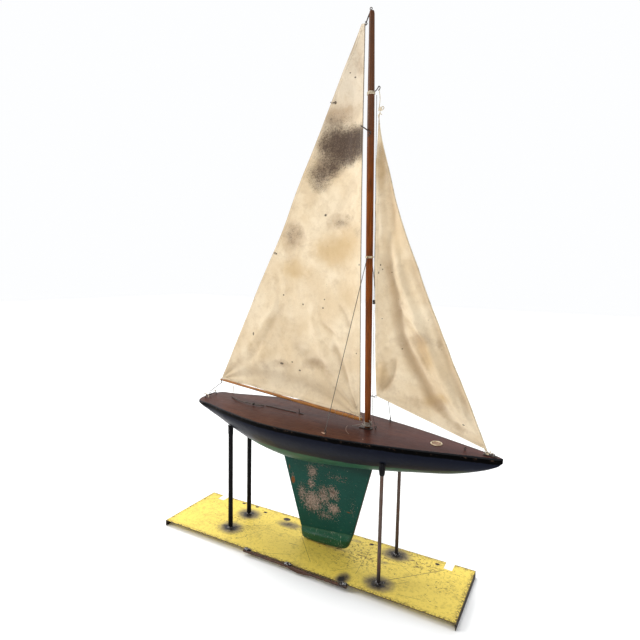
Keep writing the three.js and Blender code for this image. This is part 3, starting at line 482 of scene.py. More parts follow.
def canvas(name, tan, dots):
    """Aged cotton: weave, mould, tan patches and hem stitches, with painted shade along the folds and in some of the
    brown patches. Patches are in the sail's own XZ plane.
    """
    p = Paint(name, rough=0.88, Sheen_Weight=0.15, Sheen_Roughness=0.5, Specular_IOR_Level=0.2)
    at = p.place()
    high = p.axis(at, "Z")
    broad = p.noise(at, 10, 6, 0.65)
    mid = p.noise(at, 42, 6, 0.7)
    fine = p.noise(at, 420, 5, 0.75)
    base = p.mix(p.smooth(broad, 0.35, 0.65), (0.72, 0.565, 0.365), (0.84, 0.705, 0.505))
    greyed = p.smooth(high, 0.60, 0.72)
    base = p.mix(p.math("MULTIPLY", greyed, 0.7), base, (0.66, 0.575, 0.46))
    base = p.mix(p.math("MULTIPLY", p.smooth(mid, 0.46, 0.70), 0.36), base, (0.54, 0.40, 0.245))
    base = p.mix(p.math("MULTIPLY", p.smooth(fine, 0.50, 0.74), 0.26), base, (0.42, 0.31, 0.195))
    tanned = p.math("MULTIPLY", p.spots(at, tan), p.math("ADD", 0.45, p.noise(at, 18, 5, 0.7)))
    base = p.mix(p.math("MULTIPLY", p.smooth(tanned, 0.12, 0.80), 0.60), base, (0.58, 0.390, 0.175))
    # Brown patches from the per-vertex layer: real dirt in most places, painted shade in two low patches on the
    # mainsail.
    dirt_and_shade = p.attribute("dirt_and_shade")
    worn = p.smooth(p.math("ADD", dirt_and_shade, p.math("MULTIPLY", p.math("SUBTRACT", mid, 0.5), 0.7)), 0.25, 0.85)
    base = p.mix(p.math("MULTIPLY", worn, 0.55), base, (0.37, 0.245, 0.145))
    freckle = p.noise(at, 260, 8, 0.88)
    cloud = p.noise(at, 26, 8, 0.78)
    mould = p.attribute("mould")
    heavy = p.math("ADD", mould, p.math("MULTIPLY", p.math("SUBTRACT", cloud, 0.5), 1.1))
    heavy = p.math("MULTIPLY", p.smooth(heavy, 0.10, 1.0), p.smooth(mould, 0.02, 0.14))
    base = p.mix(p.math("MULTIPLY", heavy, 0.92), base, (0.092, 0.052, 0.032))
    peppered = p.math("ADD", p.math("MULTIPLY", mould, 0.20), freckle)
    peppered = p.math("MULTIPLY", p.smooth(peppered, 0.60, 0.70), p.smooth(mould, 0.03, 0.35))
    base = p.mix(p.math("MULTIPLY", peppered, 0.70), base, (0.050, 0.033, 0.026))
    marks = p.math("MULTIPLY", p.spots(at, dots), p.math("ADD", 0.55, fine))
    base = p.mix(p.math("MULTIPLY", p.smooth(marks, 0.30, 0.62), 0.85), base, (0.060, 0.040, 0.030))
    flecks = p.smooth(p.noise(at, 110, 4, 0.7), 0.690, 0.725)
    base = p.mix(p.math("MULTIPLY", flecks, 0.42), base, (0.22, 0.14, 0.08))
    # Painted shade: the cloth is darkened to brown along the valleys of the folds.
    base = p.mix(p.math("MULTIPLY", p.attribute("fold_shade"), 0.62), base, (0.31, 0.195, 0.10))
    hem = p.attribute("hem")
    run = p.attribute("run")
    seam = p.smooth(p.math("ABSOLUTE", p.math("SUBTRACT", hem, 5.6)), 0.55, 0.25)
    stitched = p.math("MULTIPLY", seam, p.smooth(p.math("SINE", p.math("MULTIPLY", run, 1.75)), -0.3, 0.2))
    base = p.mix(p.math("MULTIPLY", seam, 0.30), base, (0.40, 0.27, 0.15))
    base = p.mix(p.math("MULTIPLY", stitched, 0.45), base, (0.78, 0.68, 0.52))
    base = p.mix(p.math("MULTIPLY", p.smooth(hem, 1.6, 0.2), 0.45), base, (0.34, 0.23, 0.13))
    p.set("Base Color", base)
    weave = p.math("ADD", p.wave(at, 420, "X", 1.5), p.wave(at, 420, "Z", 1.5))
    under = p.bump(weave, 0.00022, 0.55)
    under = p.bump(p.math("ADD", mid, p.math("MULTIPLY", fine, 0.3)), 0.0014, 0.5, under)
    p.bump(p.math("SUBTRACT", stitched, seam), 0.0005, 0.8, under)
    return p.material


def cordage(name, dark, light):
    p = Paint(name, rough=0.85, Sheen_Weight=0.3)
    at = p.place()
    fibre = p.noise(at, 1500, 5, 0.75)
    broad = p.noise(at, 90, 4)
    base = p.mix(fibre, dark, light)
    base = p.mix(p.math("MULTIPLY", p.smooth(broad, 0.48, 0.68), 0.6), base, [c * 0.5 for c in dark])
    p.set("Base Color", base)
    p.bump(fibre, 0.0002, 0.8)
    return p.material


def raw_pine():
    p = Paint("raw_pine", rough=0.62)
    at = p.place()
    grain = p.noise(p.stretch(at, (0.1, 1, 1)), 300, 5)
    p.set("Base Color", p.mix(grain, (0.50, 0.32, 0.16), (0.68, 0.48, 0.28)))
    p.bump(grain, 0.0003, 0.5)
    return p.material


def floor_paint():
    p = Paint("floor", rough=0.75)
    at = p.place()
    p.set("Base Color", p.mix(p.noise(at, 3, 3), (0.90, 0.905, 0.915), (0.92, 0.925, 0.93)))
    return p.material


YELLOW = yellow_paint()
RUST = rusty_steel("rusty_steel", 0.62)
WELD = weld_metal()
ROD = rod_steel()
RUBBER = black_rubber()
HULL = hull_paint()
DECK = deck_varnish()
FIN = keel_paint("keel_paint", False)
BALLAST = keel_paint("ballast_paint", True)
MAST = spar_varnish("mast_varnish", (0.070, 0.015, 0.0012), (0.25, 0.060, 0.0030), "Z")
BOOM = spar_varnish("boom_varnish", (0.22, 0.080, 0.018), (0.50, 0.22, 0.062), "X")
IRON = dark_iron()
BRASS = old_brass()
CORD = cordage("cream_cord", (0.50, 0.40, 0.26), (0.72, 0.63, 0.47))
DARK_CORD = cordage("dark_cord", (0.035, 0.028, 0.024), (0.11, 0.09, 0.075))
PINE = raw_pine()
MAIN_CLOTH = canvas(
    "main_canvas",
    tan=[((-95, 0, 395), (120, 60, 80), 0, 1.0), ((-200, 0, 345), (90, 60, 50), 0, 0.8),
         ((-60, 0, 300), (90, 60, 60), 0, 0.45), ((-280, 0, 130), (160, 60, 60), 0, 0.45),
         ((-110, 0, 700), (70, 60, 60), 0, 0.4), ((-150, 0, 230), (140, 60, 50), 0, 0.35)],
    dots=[((-238, 0, 280), (4.0, 60, 3.8)), ((-181, 0, 261), (4.0, 60, 4.2)), ((-121, 0, 277), (3.6, 60, 3.4)),
          ((-124, 0, 257), (5.0, 60, 3.6)), ((-242, 0, 109), (11, 60, 5)), ((-24, 0, 360), (3, 60, 4)),
          ((-26, 0, 165), (3, 60, 3)), ((-45, 0, 742), (4, 60, 3)), ((-56, 0, 752), (3, 60, 2.4)),
          ((-330, 0, 175), (5, 60, 8)), ((-120, 0, 467), (5, 60, 5)), ((-91, 0, 699), (5, 60, 6)),
          ((-186, 0, 100), (6, 60, 4)), ((-208, 0, 118), (5, 60, 3))])
JIB_CLOTH = canvas(
    "jib_canvas",
    tan=[((14, 0, 560), (16, 60, 90), 0, 0.8), ((48, 0, 420), (20, 60, 110), -14, 0.4),
         ((120, 0, 190), (26, 60, 70), -24, 1.0), ((150, 0, 90), (60, 60, 26), -18, 0.9),
         ((30, 0, 120), (40, 60, 60), 0, 0.8), ((70, 0, 250), (50, 60, 26), 0, 0.45)],
    dots=[((18, 0, 361), (2.4, 60, 3.4)), ((15, 0, 345), (2.0, 60, 4.6)), ((38, 0, 346), (4.5, 60, 2.2)),
          ((25, 0, 248), (1.8, 60, 2.2)), ((69, 0, 186), (2.8, 60, 2.8)), ((22, 0, 352), (2.0, 60, 2.2)),
          ((54, 0, 290), (2.4, 60, 1.8)), ((208, 0, 50), (5, 60, 2.6))])


# ---------- mesh helpers: everything below is in millimetres until it becomes an object ----------
class Form:
    """Vertices and faces gathered from several closed bodies of one piece."""

    def __init__(self):
        self.points = []
        self.faces = []

    def add(self, body):
        points, faces = body
        first = len(self.points)
        self.points.extend(points)
        self.faces.extend([tuple(i + first for i in face) for face in faces])
        return self


def make(name, body, where, material, rides, node=None, angle=35, attributes=None):
    """One finished piece: mesh, frame, material, the body it rides on and the CAD nodes it stands for."""
    points, faces = (body.points, body.faces) if isinstance(body, Form) else body
    mesh = bpy.data.meshes.new(name)
    mesh.from_pydata([[c * MM for c in p] for p in points], [], [list(f) for f in faces])
    mesh.validate()
    mesh.polygons.foreach_set("use_smooth", [True] * len(mesh.polygons))
    mesh.set_sharp_from_angle(angle=math.radians(angle))
    mesh.materials.append(material)
    piece = bpy.data.objects.new(name, mesh)
    bpy.context.collection.objects.link(piece)
    piece.matrix_world = where
    if attributes:
        store(piece, attributes)
    if isinstance(rides, str):
        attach(piece, rides)
    if node:
        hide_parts(*([node] if isinstance(node, str) else node))
    return piece


def store(piece, attributes):
    """Named numbers on each vertex, from a function of its place in millimetres or from a list."""
    mesh = piece.data
    for key, source in attributes.items():
        layer = mesh.attributes.new(key, "FLOAT", "POINT")
        values = source
        if callable(source):
            values = [source(*(c / MM for c in v.co)) for v in mesh.vertices]
        layer.data.foreach_set("value", np.asarray(values, np.float32))


def loft(rings, caps=True):
    count = len(rings[0])
    points = [tuple(p) for ring in rings for p in ring]
    faces = []
    for r in range(len(rings) - 1):
        for k in range(count):
            a, b = r * count + k, r * count + (k + 1) % count
            faces.append((a, b, b + count, a + count))
    if caps:
        faces.append(tuple(range(count - 1, -1, -1)))
        last = (len(rings) - 1) * count
        faces.append(tuple(range(last, last + count)))
    return outward(points, faces)


def outward(points, faces):
    """Turns a closed body's faces so that its volume is positive."""
    volume = 0.0
    for face in faces:
        a = points[face[0]]
        for i in range(1, len(face) - 1):
            b, c = points[face[i]], points[face[i + 1]]
            volume += (a[0] * (b[1] * c[2] - b[2] * c[1]) + a[1] * (b[2] * c[0] - b[0] * c[2])
                       + a[2] * (b[0] * c[1] - b[1] * c[0]))
    if volume < 0:
        faces = [tuple(reversed(face)) for face in faces]
    return points, faces


def smooth_path(points, steps):
    """A centripetal curve through the points, evenly resampled."""
    p = [Vector(q) for q in points]
    if len(p) == 2:
        return [p[0].lerp(p[1], i / steps) for i in range(steps + 1)]
    p = [p[0] * 2 - p[1], *p, p[-1] * 2 - p[-2]]
    dense = []
    for i in range(1, len(p) - 2):
        for j in range(24):
            t = j / 24
            a, b, c, d = p[i - 1], p[i], p[i + 1], p[i + 2]
            dense.append(0.5 * (2 * b + (c - a) * t + (2 * a - 5 * b + 4 * c - d) * t * t
                                + (3 * b - a - 3 * c + d) * t ** 3))
    dense.append(p[-2])
    lengths = [0.0]
    for a, b in zip(dense, dense[1:]):
        lengths.append(lengths[-1] + (b - a).length)
    result = []
    k = 0
    for i in range(steps + 1):
        goal = lengths[-1] * i / steps
        while k < len(dense) - 2 and lengths[k + 1] < goal:
            k += 1
        span = lengths[k + 1] - lengths[k] or 1.0
        result.append(dense[k].lerp(dense[k + 1], min(max((goal - lengths[k]) / span, 0), 1)))
    return result


def sweep(path, radius, sides=12):
    """A round body along a path; radius is a number or a function of (share of length, angle, length so far)."""
    rings = []
    normal = None
    run = 0.0
    for i, point in enumerate(path):
        ahead = path[min(i + 1, len(path) - 1)] - path[max(i - 1, 0)]
        tangent = ahead.normalized()
        if normal is None:
            normal = tangent.orthogonal().normalized()
        else:
            normal = (normal - tangent * normal.dot(tangent)).normalized()
            run += (point - path[i - 1]).length
        across = tangent.cross(normal)
        ring = []
        for k in range(sides):
            angle = 2 * math.pi * k / sides
            r = radius(i / (len(path) - 1), angle, run) if callable(radius) else radius
            ring.append(point + (normal * math.cos(angle) + across * math.sin(angle)) * r)
        rings.append(ring)
    return loft(rings)


def wire(points, radius, steps=40, sides=10, rough=0.04, seed=0.0):
    """Bent wire with slightly uneven thickness and rounded ends."""
    def size(t, angle, run):
        end = min(t, 1 - t) * steps
        bulge = min(1.0, 0.45 + 0.4 * end)
        return radius * bulge * (1 + rough * math.sin(run * 1.7 + seed + angle))
    return sweep(smooth_path(points, steps), size, sides)


def rope(points, radius, strands=3, sides=12, pitch=None, fray=0.0, seed=0.0, step=0.9):
    """Twisted cord: the strands stand out as a lobed section that turns along the path."""
    pitch = pitch or radius * 7
    rough = smooth_path(points, 80)
    long = sum((b - a).length for a, b in zip(rough, rough[1:]))
    steps = max(12, int(long / (radius * step)))
    path = smooth_path(points, steps)

    def size(t, angle, run):
        lobe = abs(math.cos(strands * 0.5 * (angle - 2 * math.pi * run / pitch)))
        wild = fray * noise.noise(Vector((run * 0.8, angle, seed)))
        return radius * (0.80 + 0.24 * lobe + wild)
    return sweep(path, size, sides)


def lump(centre, radii, seed, rough=0.25, fine=3.0, detail=3):
    """An uneven blob such as a weld bead or a knot."""
    import bmesh
    ball = bmesh.new()
    bmesh.ops.create_icosphere(ball, subdivisions=detail, radius=1.0)
    points = []
    for v in ball.verts:
        direction = v.co.normalized()
        swell = 1 + rough * noise.fractal(direction * fine * 0.6 + Vector((seed * 7.3, seed, -seed)), 0.8, 2.0, 3)
        points.append(tuple(centre[i] + direction[i] * radii[i] * swell for i in range(3)))
    faces = [tuple(v.index for v in f.verts) for f in ball.faces]
    ball.free()
    return points, faces


def lathe(profile, centre, sides=32, axis="Z"):
    """A turned body from an [r, height] profile that starts and ends on the axis or closes on itself."""
    rings = []
    for r, h in profile:
        ring = []
        for k in range(sides):
            angle = 2 * math.pi * k / sides
            c, s = max(r, 0.02) * math.cos(angle), max(r, 0.02) * math.sin(angle)
            local = {"Z": (c, s, h), "X": (h, c, s), "Y": (s, h, c)}[axis]
            ring.append(tuple(centre[i] + local[i] for i in range(3)))
        rings.append(ring)
    return loft(rings)


def annulus(profile, centre, sides=48, axis="Z"):
    """A turned ring from a closed [r, height] section."""
    count = len(profile)
    points, faces = [], []
    for k in range(sides):
        angle = 2 * math.pi * k / sides
        for r, h in profile:
            c, s = r * math.cos(angle), r * math.sin(angle)
            local = {"Z": (c, s, h), "X": (h, c, s), "Y": (s, h, c)}[axis]
            points.append(tuple(centre[i] + local[i] for i in range(3)))
    for k in range(sides):
        for j in range(count):
            a, b = k * count + j, k * count + (j + 1) % count
            c, d = ((k + 1) % sides) * count + (j + 1) % count, ((k + 1) % sides) * count + j
            faces.append((a, b, c, d))
    return outward(points, faces)


def hoop(centre, radius, thick, axis="Y", sides=28, section=10, squash=1.0):
    profile = []
    for j in range(section):
        a = 2 * math.pi * j / section
        profile.append((radius + thick * math.cos(a), thick * math.sin(a) * squash))
    return annulus(profile, centre, sides, axis)


def slab(length, width, thick, centre, bulge=0.0, corner=1.0):
    """A thin plate with rounded corners and softened edges."""
    rings = []
    for t, inset in ((-0.5, corner * 0.4), (-0.36, 0.08), (0.36, 0.0), (0.5, corner * 0.4)):
        ring = []
        for k in range(40):
            a = 2 * math.pi * k / 40
            c, s = math.cos(a), math.sin(a)
            x = math.copysign(abs(c) ** 0.28, c) * (length / 2 - inset)
            y = math.copysign(abs(s) ** 0.28, s) * (width / 2 - inset)
            ring.append((centre[0] + x, centre[1] + y, centre[2] + t * thick + bulge * (1 - (2 * x / length) ** 2)))
        rings.append(ring)
    return loft(rings)


def drape(edge_points, thickness):
    """A closed thin sheet over a grid of middle points; thickness is per point."""
    rows, columns = len(edge_points), len(edge_points[0])
    middle = np.array(edge_points, float)
    du = np.gradient(middle, axis=1)
    dv = np.gradient(middle, axis=0)
    normal = np.cross(du, dv)
    normal /= np.maximum(np.linalg.norm(normal, axis=2, keepdims=True), 1e-9)
    half = np.asarray(thickness)[..., None] * 0.5
    front = (middle + normal * half).reshape(-1, 3)
    back = (middle - normal * half).reshape(-1, 3)
    points = [tuple(p) for p in np.vstack([front, back])]
    size = rows * columns
    faces = []
    for j in range(rows - 1):
        for i in range(columns - 1):
            a = j * columns + i
            faces.append((a, a + 1, a + columns + 1, a + columns))
            faces.append((size + a, size + a + columns, size + a + columns + 1, size + a + 1))
    rim = [i for i in range(columns)]
    rim += [j * columns + columns - 1 for j in range(1, rows)]
    rim += [(rows - 1) * columns + i for i in range(columns - 2, -1, -1)]
    rim += [j * columns for j in range(rows - 2, 0, -1)]
    for a, b in zip(rim, rim[1:] + rim[:1]):
        faces.append((b, a, size + a, size + b))
    return outward(points, faces)


# ---------- hull lines ----------
STERN_X, BOW_X = -480, 287
HALF_BREADTH = [(STERN_X, 0.6), (-478.5, 19), (-474, 33), (-464, 46), (-438, 50), (-416, 54.5), (-353, 73),
                (-250, 95), (-165, 99.5), (-60, 92), (40, 74.5), (120, 55), (190, 34), (245, 17), (277, 6.5),
                (BOW_X, 0.6)]
KEEL_LINE = [(STERN_X, -13), (-470, -22), (-455, -34), (-430, -48), (-400, -58), (-330, -82), (-250, -101),
             (-165, -108), (-60, -98), (40, -84), (120, -69.5), (190, -56), (245, -37.5), (277, -21.5), (BOW_X, -11.5)]
WATERLINE = [(STERN_X, -95), (-330, -78), (-280, -66), (-229, -62), (-20, -62), (23, -60), (92, -54),
             (148, -50), (214, -40), (260, -44), (BOW_X, -50)]


def along(table, x):
    """Piecewise cubic through a table of (x, value) rows."""
    i = 0
    while i < len(table) - 2 and x > table[i + 1][0]:
        i += 1
    (x0, y0), (x1, y1) = table[i], table[i + 1]
    before, after = table[max(i - 1, 0)], table[min(i + 2, len(table) - 1)]
    t = min(max((x - x0) / (x1 - x0), 0), 1)
    slope0 = (y1 - y0) / (x1 - x0) if i == 0 else (y1 - before[1]) / (x1 - before[0])
    slope1 = (y1 - y0) / (x1 - x0) if i == len(table) - 2 else (after[1] - y0) / (after[0] - x0)
    h = x1 - x0
    return ((2 * t ** 3 - 3 * t * t + 1) * y0 + (t ** 3 - 2 * t * t + t) * h * slope0
            + (3 * t * t - 2 * t ** 3) * y1 + (t ** 3 - t * t) * h * slope1)


def sheer(x):
    return -3.24 * (x / 378) ** 2


def stations(start, end, count):
    return [start + (end - start) * (0.5 - 0.5 * math.cos(math.pi * i / count)) for i in range(count + 1)]


def hull_side(x, steps, wall=0.0):
    breadth = max(along(HALF_BREADTH, x), 0.3)
    top = sheer(x) - 3.3
    bottom = along(KEEL_LINE, x)
    if wall:
        breadth = max(breadth - wall, breadth * 0.3)
        bottom = top - max(top - bottom - wall, 0.3 * (top - bottom))
    fullness = 1.15 + (0.92 - 1.15) * (x - STERN_X) / (BOW_X - STERN_X)
    side = []
    for k in range(steps + 1):
        angle = math.pi / 2 * k / steps
        y = 0.0 if k == steps else breadth * math.cos(angle) ** fullness
        side.append((y, top - (top - bottom) * math.sin(angle) ** 1.2))
    return side


def hull_low(x, y):
    """Height of the outer skin over a point of the plan, in the yacht's frame."""
    breadth = max(along(HALF_BREADTH, x), 0.3)
    top = sheer(x) - 3.3
    fullness = 1.15 + (0.92 - 1.15) * (x - STERN_X) / (BOW_X - STERN_X)
    share = min(abs(y) / breadth, 1.0) ** (1 / fullness)
    return top - (top - along(KEEL_LINE, x)) * math.sin(math.acos(share)) ** 1.2


TO_YACHT = YACHT.inverted() @ STAND
TO_STAND = TO_YACHT.inverted()


def tuck(body):
    """Lets the top of a stand piece follow the skin of the hull that rests on it."""
    points, faces = body
    moved = []
    for point in points:
        local = (TO_YACHT @ (Vector(point) * MM)) / MM
        start = hull_low(local.x, local.y) - 2.2
        if local.z > start:
            local.z = start + 1.8 * (1 - math.exp(-(local.z - start) / 1.8))
        moved.append(tuple((TO_STAND @ (local * MM)) / MM))
    return moved, faces


# ---------- stand ----------
POSTS = {
    "stern_starboard": ((-207.8, -37.7), 271, 285, True),
    "stern_port": ((-209.5, 42.5), 265, 279.5, True),
    "bow_starboard": ((205.6, -56.7), 262, 280, False),
    "bow_port": ((202.3, 64.8), 288, 300, False),
}


def build_plate():
    """The sheet from its CAD solid, with its folds and cut edges softened and slightly uneven."""
    source = NODES["stand_plate"]
    mesh = source.data.copy()
    mesh.name = "yellow_plate"
    mesh.transform(STAND.inverted())
    plate = bpy.data.objects.new("yellow_plate", mesh)
    bpy.context.collection.objects.link(plate)
    weld = plate.modifiers.new("weld", "WELD")
    weld.merge_threshold = 0.00001
    bevel = plate.modifiers.new("edges", "BEVEL")
    bevel.width = 0.00075
    bevel.segments = 3
    bevel.limit_method = "ANGLE"
    bevel.angle_limit = math.radians(40)
    finished = bpy.data.meshes.new_from_object(plate.evaluated_get(bpy.context.evaluated_depsgraph_get()))
    plate.modifiers.clear()
    plate.data = finished
    finished.materials.clear()
    finished.materials.append(YELLOW)
    finished.polygons.foreach_set("use_smooth", [True] * len(finished.polygons))
    finished.set_sharp_from_angle(angle=math.radians(30))
    plate.matrix_world = STAND
    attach(plate, "stand")
    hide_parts("stand_plate")


def build_post(name, at, rod_top, cap_top, sleeved, seed):
    x, y = at
    bow = 0.5 * (1 if seed % 2 else -1)
    path = smooth_path([(x, y, 15.2), (x + bow * 0.4, y, 15 + (rod_top - 15) * 0.5), (x, y, rod_top)], 60)
    uneven = sweep(path, lambda t, a, run: 3.95 * (1 + 0.012 * math.sin(run * 0.21 + seed + 2 * a)), 24)
    make(f"post_rod_{name}", uneven, STAND, ROD, "stand", f"post_{name}")

    bead = Form()
    rng = random.Random(40 + seed)
    for k in range(7):
        angle = 2 * math.pi * (k + rng.random() * 0.5) / 7
        spread = 4.0 + rng.random() * 1.4
        centre = (x + spread * math.cos(angle), y + spread * math.sin(angle), 16.2 + rng.random() * 0.9)
        bead.add(lump(centre, (2.9, 2.9, 2.0 + rng.random()), seed * 9 + k, 0.3))
    for k in range(8):
        angle = rng.random() * 2 * math.pi
        far = 9 + rng.random() * 9
        size = 0.45 + rng.random() * 0.5
        bead.add(lump((x + far * math.cos(angle), y + far * math.sin(angle), 15.2), (size, size, size * 0.8),
                      seed + k * 3, 0.2, detail=2))
    make(f"post_bead_{name}", bead, STAND, WELD, "stand", f"post_weld_{name}")

    low = rod_top - 8
    if sleeved:
        top = cap_top + 1
        skin = [(4.3, 21), (5.5, 20.6), (5.8, 21.4), (5.7, 120), (5.75, low - 8), (5.85, low - 1), (4.3, low - 0.5)]
        make(f"rubber_tube_{name}", annulus(skin, (x, y, 0), 32), STAND, RUBBER, "stand",
             f"post_sleeve_{name}")
        shape = [(4.3, low), (6.1, low + 0.2), (6.45, low + 2), (6.35, low + 7), (6.5, top - 8), (6.75, top - 4),
                 (6.6, top - 1.2), (5.7, top), (4.3, top - 0.4)]
        ring = annulus(shape, (x, y, 0), 36)
    else:
        top = cap_top + 1
        shape = [(4.3, low), (5.2, low - 0.2), (5.9, low + 3), (6.5, low + 8), (6.8, low + 13), (6.6, top - 6),
                 (6.2, top - 1.5), (5.3, top - 0.4), (4.3, top - 0.6)]
        ring = annulus(shape, (x, y, 0), 36)
    cap = Form().add(tuck(ring))
    cap.add(tuck(lathe([(0, rod_top + 0.3), (4.25, rod_top + 0.3), (4.6, top - 1.2), (3.6, top - 0.3), (0, top - 0.1)],
                       (x, y, 0), 32)))
    make(f"rubber_cap_{name}", cap, STAND, RUBBER, "stand", f"post_cap_{name}")


def build_edge_bar():
    def shape(t, angle, run):
        lumpy = 0.16 * noise.noise(Vector((run * 0.16, math.cos(angle), math.sin(angle))))
        return 3.0 * (1 + lumpy + 0.03 * math.sin(run * 0.9))
    bar = Form()
    bar.add(sweep(smooth_path([(-119.7, -98.2, 11.4), (-40, -98.0, 11.9), (40, -98.3, 11.3), (150.2, -98.1, 11.6)], 240),
                  shape, 20))
    bar.add(sweep(smooth_path([(6, -98.6, 8.6), (30, -98.9, 7.4), (60, -98.7, 8.2)], 70),
                  lambda t, a, run: 2.6 * math.sin(math.pi * min(max(t, 0.04), 0.96)) ** 0.5
                  * (1 + 0.25 * noise.noise(Vector((run * 0.3, a, 4)))), 16))
    make("rusty_edge_bar", bar, STAND, RUST, "stand", "stand_edge_bar")
    for name, x in (("aft", -110.7), ("middle", 3), ("fore", 142.2)):
        bead = Form()
        for k in range(5):
            bead.add(lump((x - 5 + k * 2.5, -95.9 + 0.7 * math.sin(k * 2.1), 15.4 + 0.5 * math.sin(k * 1.3)),
                          (3.9, 3.8, 3.4), k + x, 0.30))
        for k in range(4):
            bead.add(lump((x - 9 + k * 6, -92 + 1.6 * math.sin(k * 5), 15.2), (0.7, 0.7, 0.5), k, 0.2, detail=2))
        make(f"edge_bead_{name}", bead, STAND, WELD, "stand", f"bar_weld_{name}")


# ---------- hull ----------
def build_hull():
    rings = []
    for x in stations(STERN_X, BOW_X, 150):
        outer = hull_side(x, 30)
        inner = hull_side(x, 30, 8)
        ring = [(x, -y, z) for y, z in outer] + [(x, y, z) for y, z in outer[-2::-1]]
        ring += [(x, y, z) for y, z in inner] + [(x, -y, z) for y, z in inner[-2::-1]]
        rings.append(ring)
    make("painted_hull", loft(rings), YACHT, HULL, "yacht", "hull_shell", 50,
         {"above": lambda x, y, z: z - along(WATERLINE, x), "below_deck": lambda x, y, z: sheer(x) - 3.3 - z})


def build_deck():
    columns = 30
    rings = []
    for x in stations(STERN_X, BOW_X, 220):
        half = max(along(HALF_BREADTH, x), 0.3)
        soft = min(0.7, half * 0.3)
        ring = []
        for k in range(columns + 1):
            y = (half - soft * 0.35) * math.cos(math.pi * k / columns)
            drop = 1.5 * (half / 99) * (y / half) ** 2
            drop += soft * 0.5 * max(0.0, (abs(y) - (half - 2 * soft)) / (2 * soft)) ** 2
            ring.append((x, y, sheer(x) - drop))
        low = sheer(x) - 3
        ring += [(x, -half, low + 1.4), (x, -half, low), (x, half, low), (x, half, low + 1.4)]
        rings.append(ring)
    deck = make("varnished_deck", loft(rings), YACHT, DECK, None, None, 50)
    cutter = make("plug_cutter", lathe([(0, -14), (9.3, -14), (9.3, 14), (0, 14)], (156, 0, 0), 64), YACHT, DECK, None)
    hole = deck.modifiers.new("hole", "BOOLEAN")
    hole.operation = "DIFFERENCE"
    hole.solver = "EXACT"
    hole.object = cutter
    bpy.context.view_layer.update()
    finished = bpy.data.meshes.new_from_object(deck.evaluated_get(bpy.context.evaluated_depsgraph_get()))
    deck.modifiers.clear()
    deck.data = finished
    bpy.data.objects.remove(cutter)
    finished.polygons.foreach_set("use_smooth", [True] * len(finished.polygons))
    finished.set_sharp_from_angle(angle=math.radians(50))
    store(deck, {"rim": lambda x, y, z: along(HALF_BREADTH, x) - abs(y) if z > sheer(x) - 2.4 else -2.0})
    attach(deck, "yacht")
    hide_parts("deck")


FOLD_AFT, FOLD_FORE = (-173, -285), (-28, -266)
FOOT_AFT, FOOT_FORE = (-168, -315), (-42, -307)


def slant(aft, fore, s):
    return aft[0] + (fore[0] - aft[0]) * s, aft[1] + (fore[1] - aft[1]) * s


def build_keel():
    """The plate fin as level sections with rounded edges, and the lead foot folded out below it."""
    rings, wear = [], []
    for j in range(61):
        t = j / 60
        ring = []
        for k in range(96):
            angle = 2 * math.pi * k / 96
            c, s = math.cos(angle), math.sin(angle)
            share = 0.5 + 0.5 * math.copysign(abs(c) ** 0.55, c)
            low = slant(FOLD_AFT, FOLD_FORE, share)
            x = -229 + 246 * share
            z = float(np.interp(x, (-229, -165, -60, 17), (-99, -103.5, -93.5, -83)))
            x, z = x + (low[0] - x) * t, z + (low[1] - z) * t
            dent = 0.35 * noise.noise(Vector((x * 0.02, z * 0.02, 3.0 + math.copysign(1, s))))
            y = math.copysign(min(1.0, (abs(s) * 3.0) ** 0.5), s) * (4.5 + dent)
            ring.append((x, y, z))
            wear.append(min(share, 1 - share) * (246 - 101 * t))
        rings.append(ring)
    make("green_fin", loft(rings), YACHT, FIN, "yacht", "keel_fin", 50, {"edge": wear})

    rings, wear = [], []
    for j in range(31):
        t = j / 30
        swell = 0.40 + 0.60 * min(1.0, (t / 0.42)) ** 1.6
        round_off = 1 - 0.22 * max(0.0, (t - 0.80) / 0.20) ** 2.2
        shrink = 0.0 if t < 0.72 else ((t - 0.72) / 0.28) ** 2.4
        aft = (FOLD_AFT[0] + (FOOT_AFT[0] - FOLD_AFT[0]) * t + 5 * shrink,
               FOLD_AFT[1] - 0.4 + (FOOT_AFT[1] - FOLD_AFT[1] + 0.6) * t)
        fore = (FOLD_FORE[0] + (FOOT_FORE[0] - FOLD_FORE[0]) * t - 7 * shrink,
                FOLD_FORE[1] - 0.4 + (FOOT_FORE[1] - FOLD_FORE[1] + 0.6) * t)
        ring = []
        for k in range(72):
            angle = 2 * math.pi * k / 72
            c, s = math.cos(angle), math.sin(angle)
            share = 0.5 + 0.5 * math.copysign(abs(c) ** 0.8, c)
            x, z = slant(aft, fore, share)
            uneven = 1 + 0.03 * noise.noise(Vector((x * 0.03, z * 0.05, s)))
            y = math.copysign(abs(s) ** 0.55, s) * 12 * swell * round_off * uneven
            ring.append((x, y, z))
            wear.append(min(min(share, 1 - share) * 130, (1 - t) * 33))
        rings.append(ring)
    make("lead_foot", loft(rings), YACHT, BALLAST, "yacht", "keel_ballast", 50, {"edge": wear})


# ---------- deck fittings ----------
def screw_eye(x, y, height, loop, thick, turn=0.0):
    """Eye with a worm-threaded stem and a small collar, standing on the deck."""
    base = sheer(x) + 0.1
    centre = Vector((x, y, base + height))
    form = Form()
    bend = []
    for k in range(29):
        a = math.radians(-84 + 340 * k / 28)
        reach = loop * math.cos(a)
        bend.append((x + reach * math.cos(turn), y + reach * math.sin(turn), centre.z + loop * math.sin(a)))
    form.add(wire(bend, thick, 56, 10))
    stem = smooth_path([(x, y, base), (x, y, base + height - loop + thick)], 20)
    form.add(sweep(stem, lambda t, a, run: thick * (1.0 + 0.12 * math.sin(9 * run + a)), 12))
    form.add(lathe([(0, 0), (thick * 2.0, 0), (thick * 2.0, 0.35), (thick * 1.2, 0.75), (0, 0.8)], (x, y, base), 20))
    return form


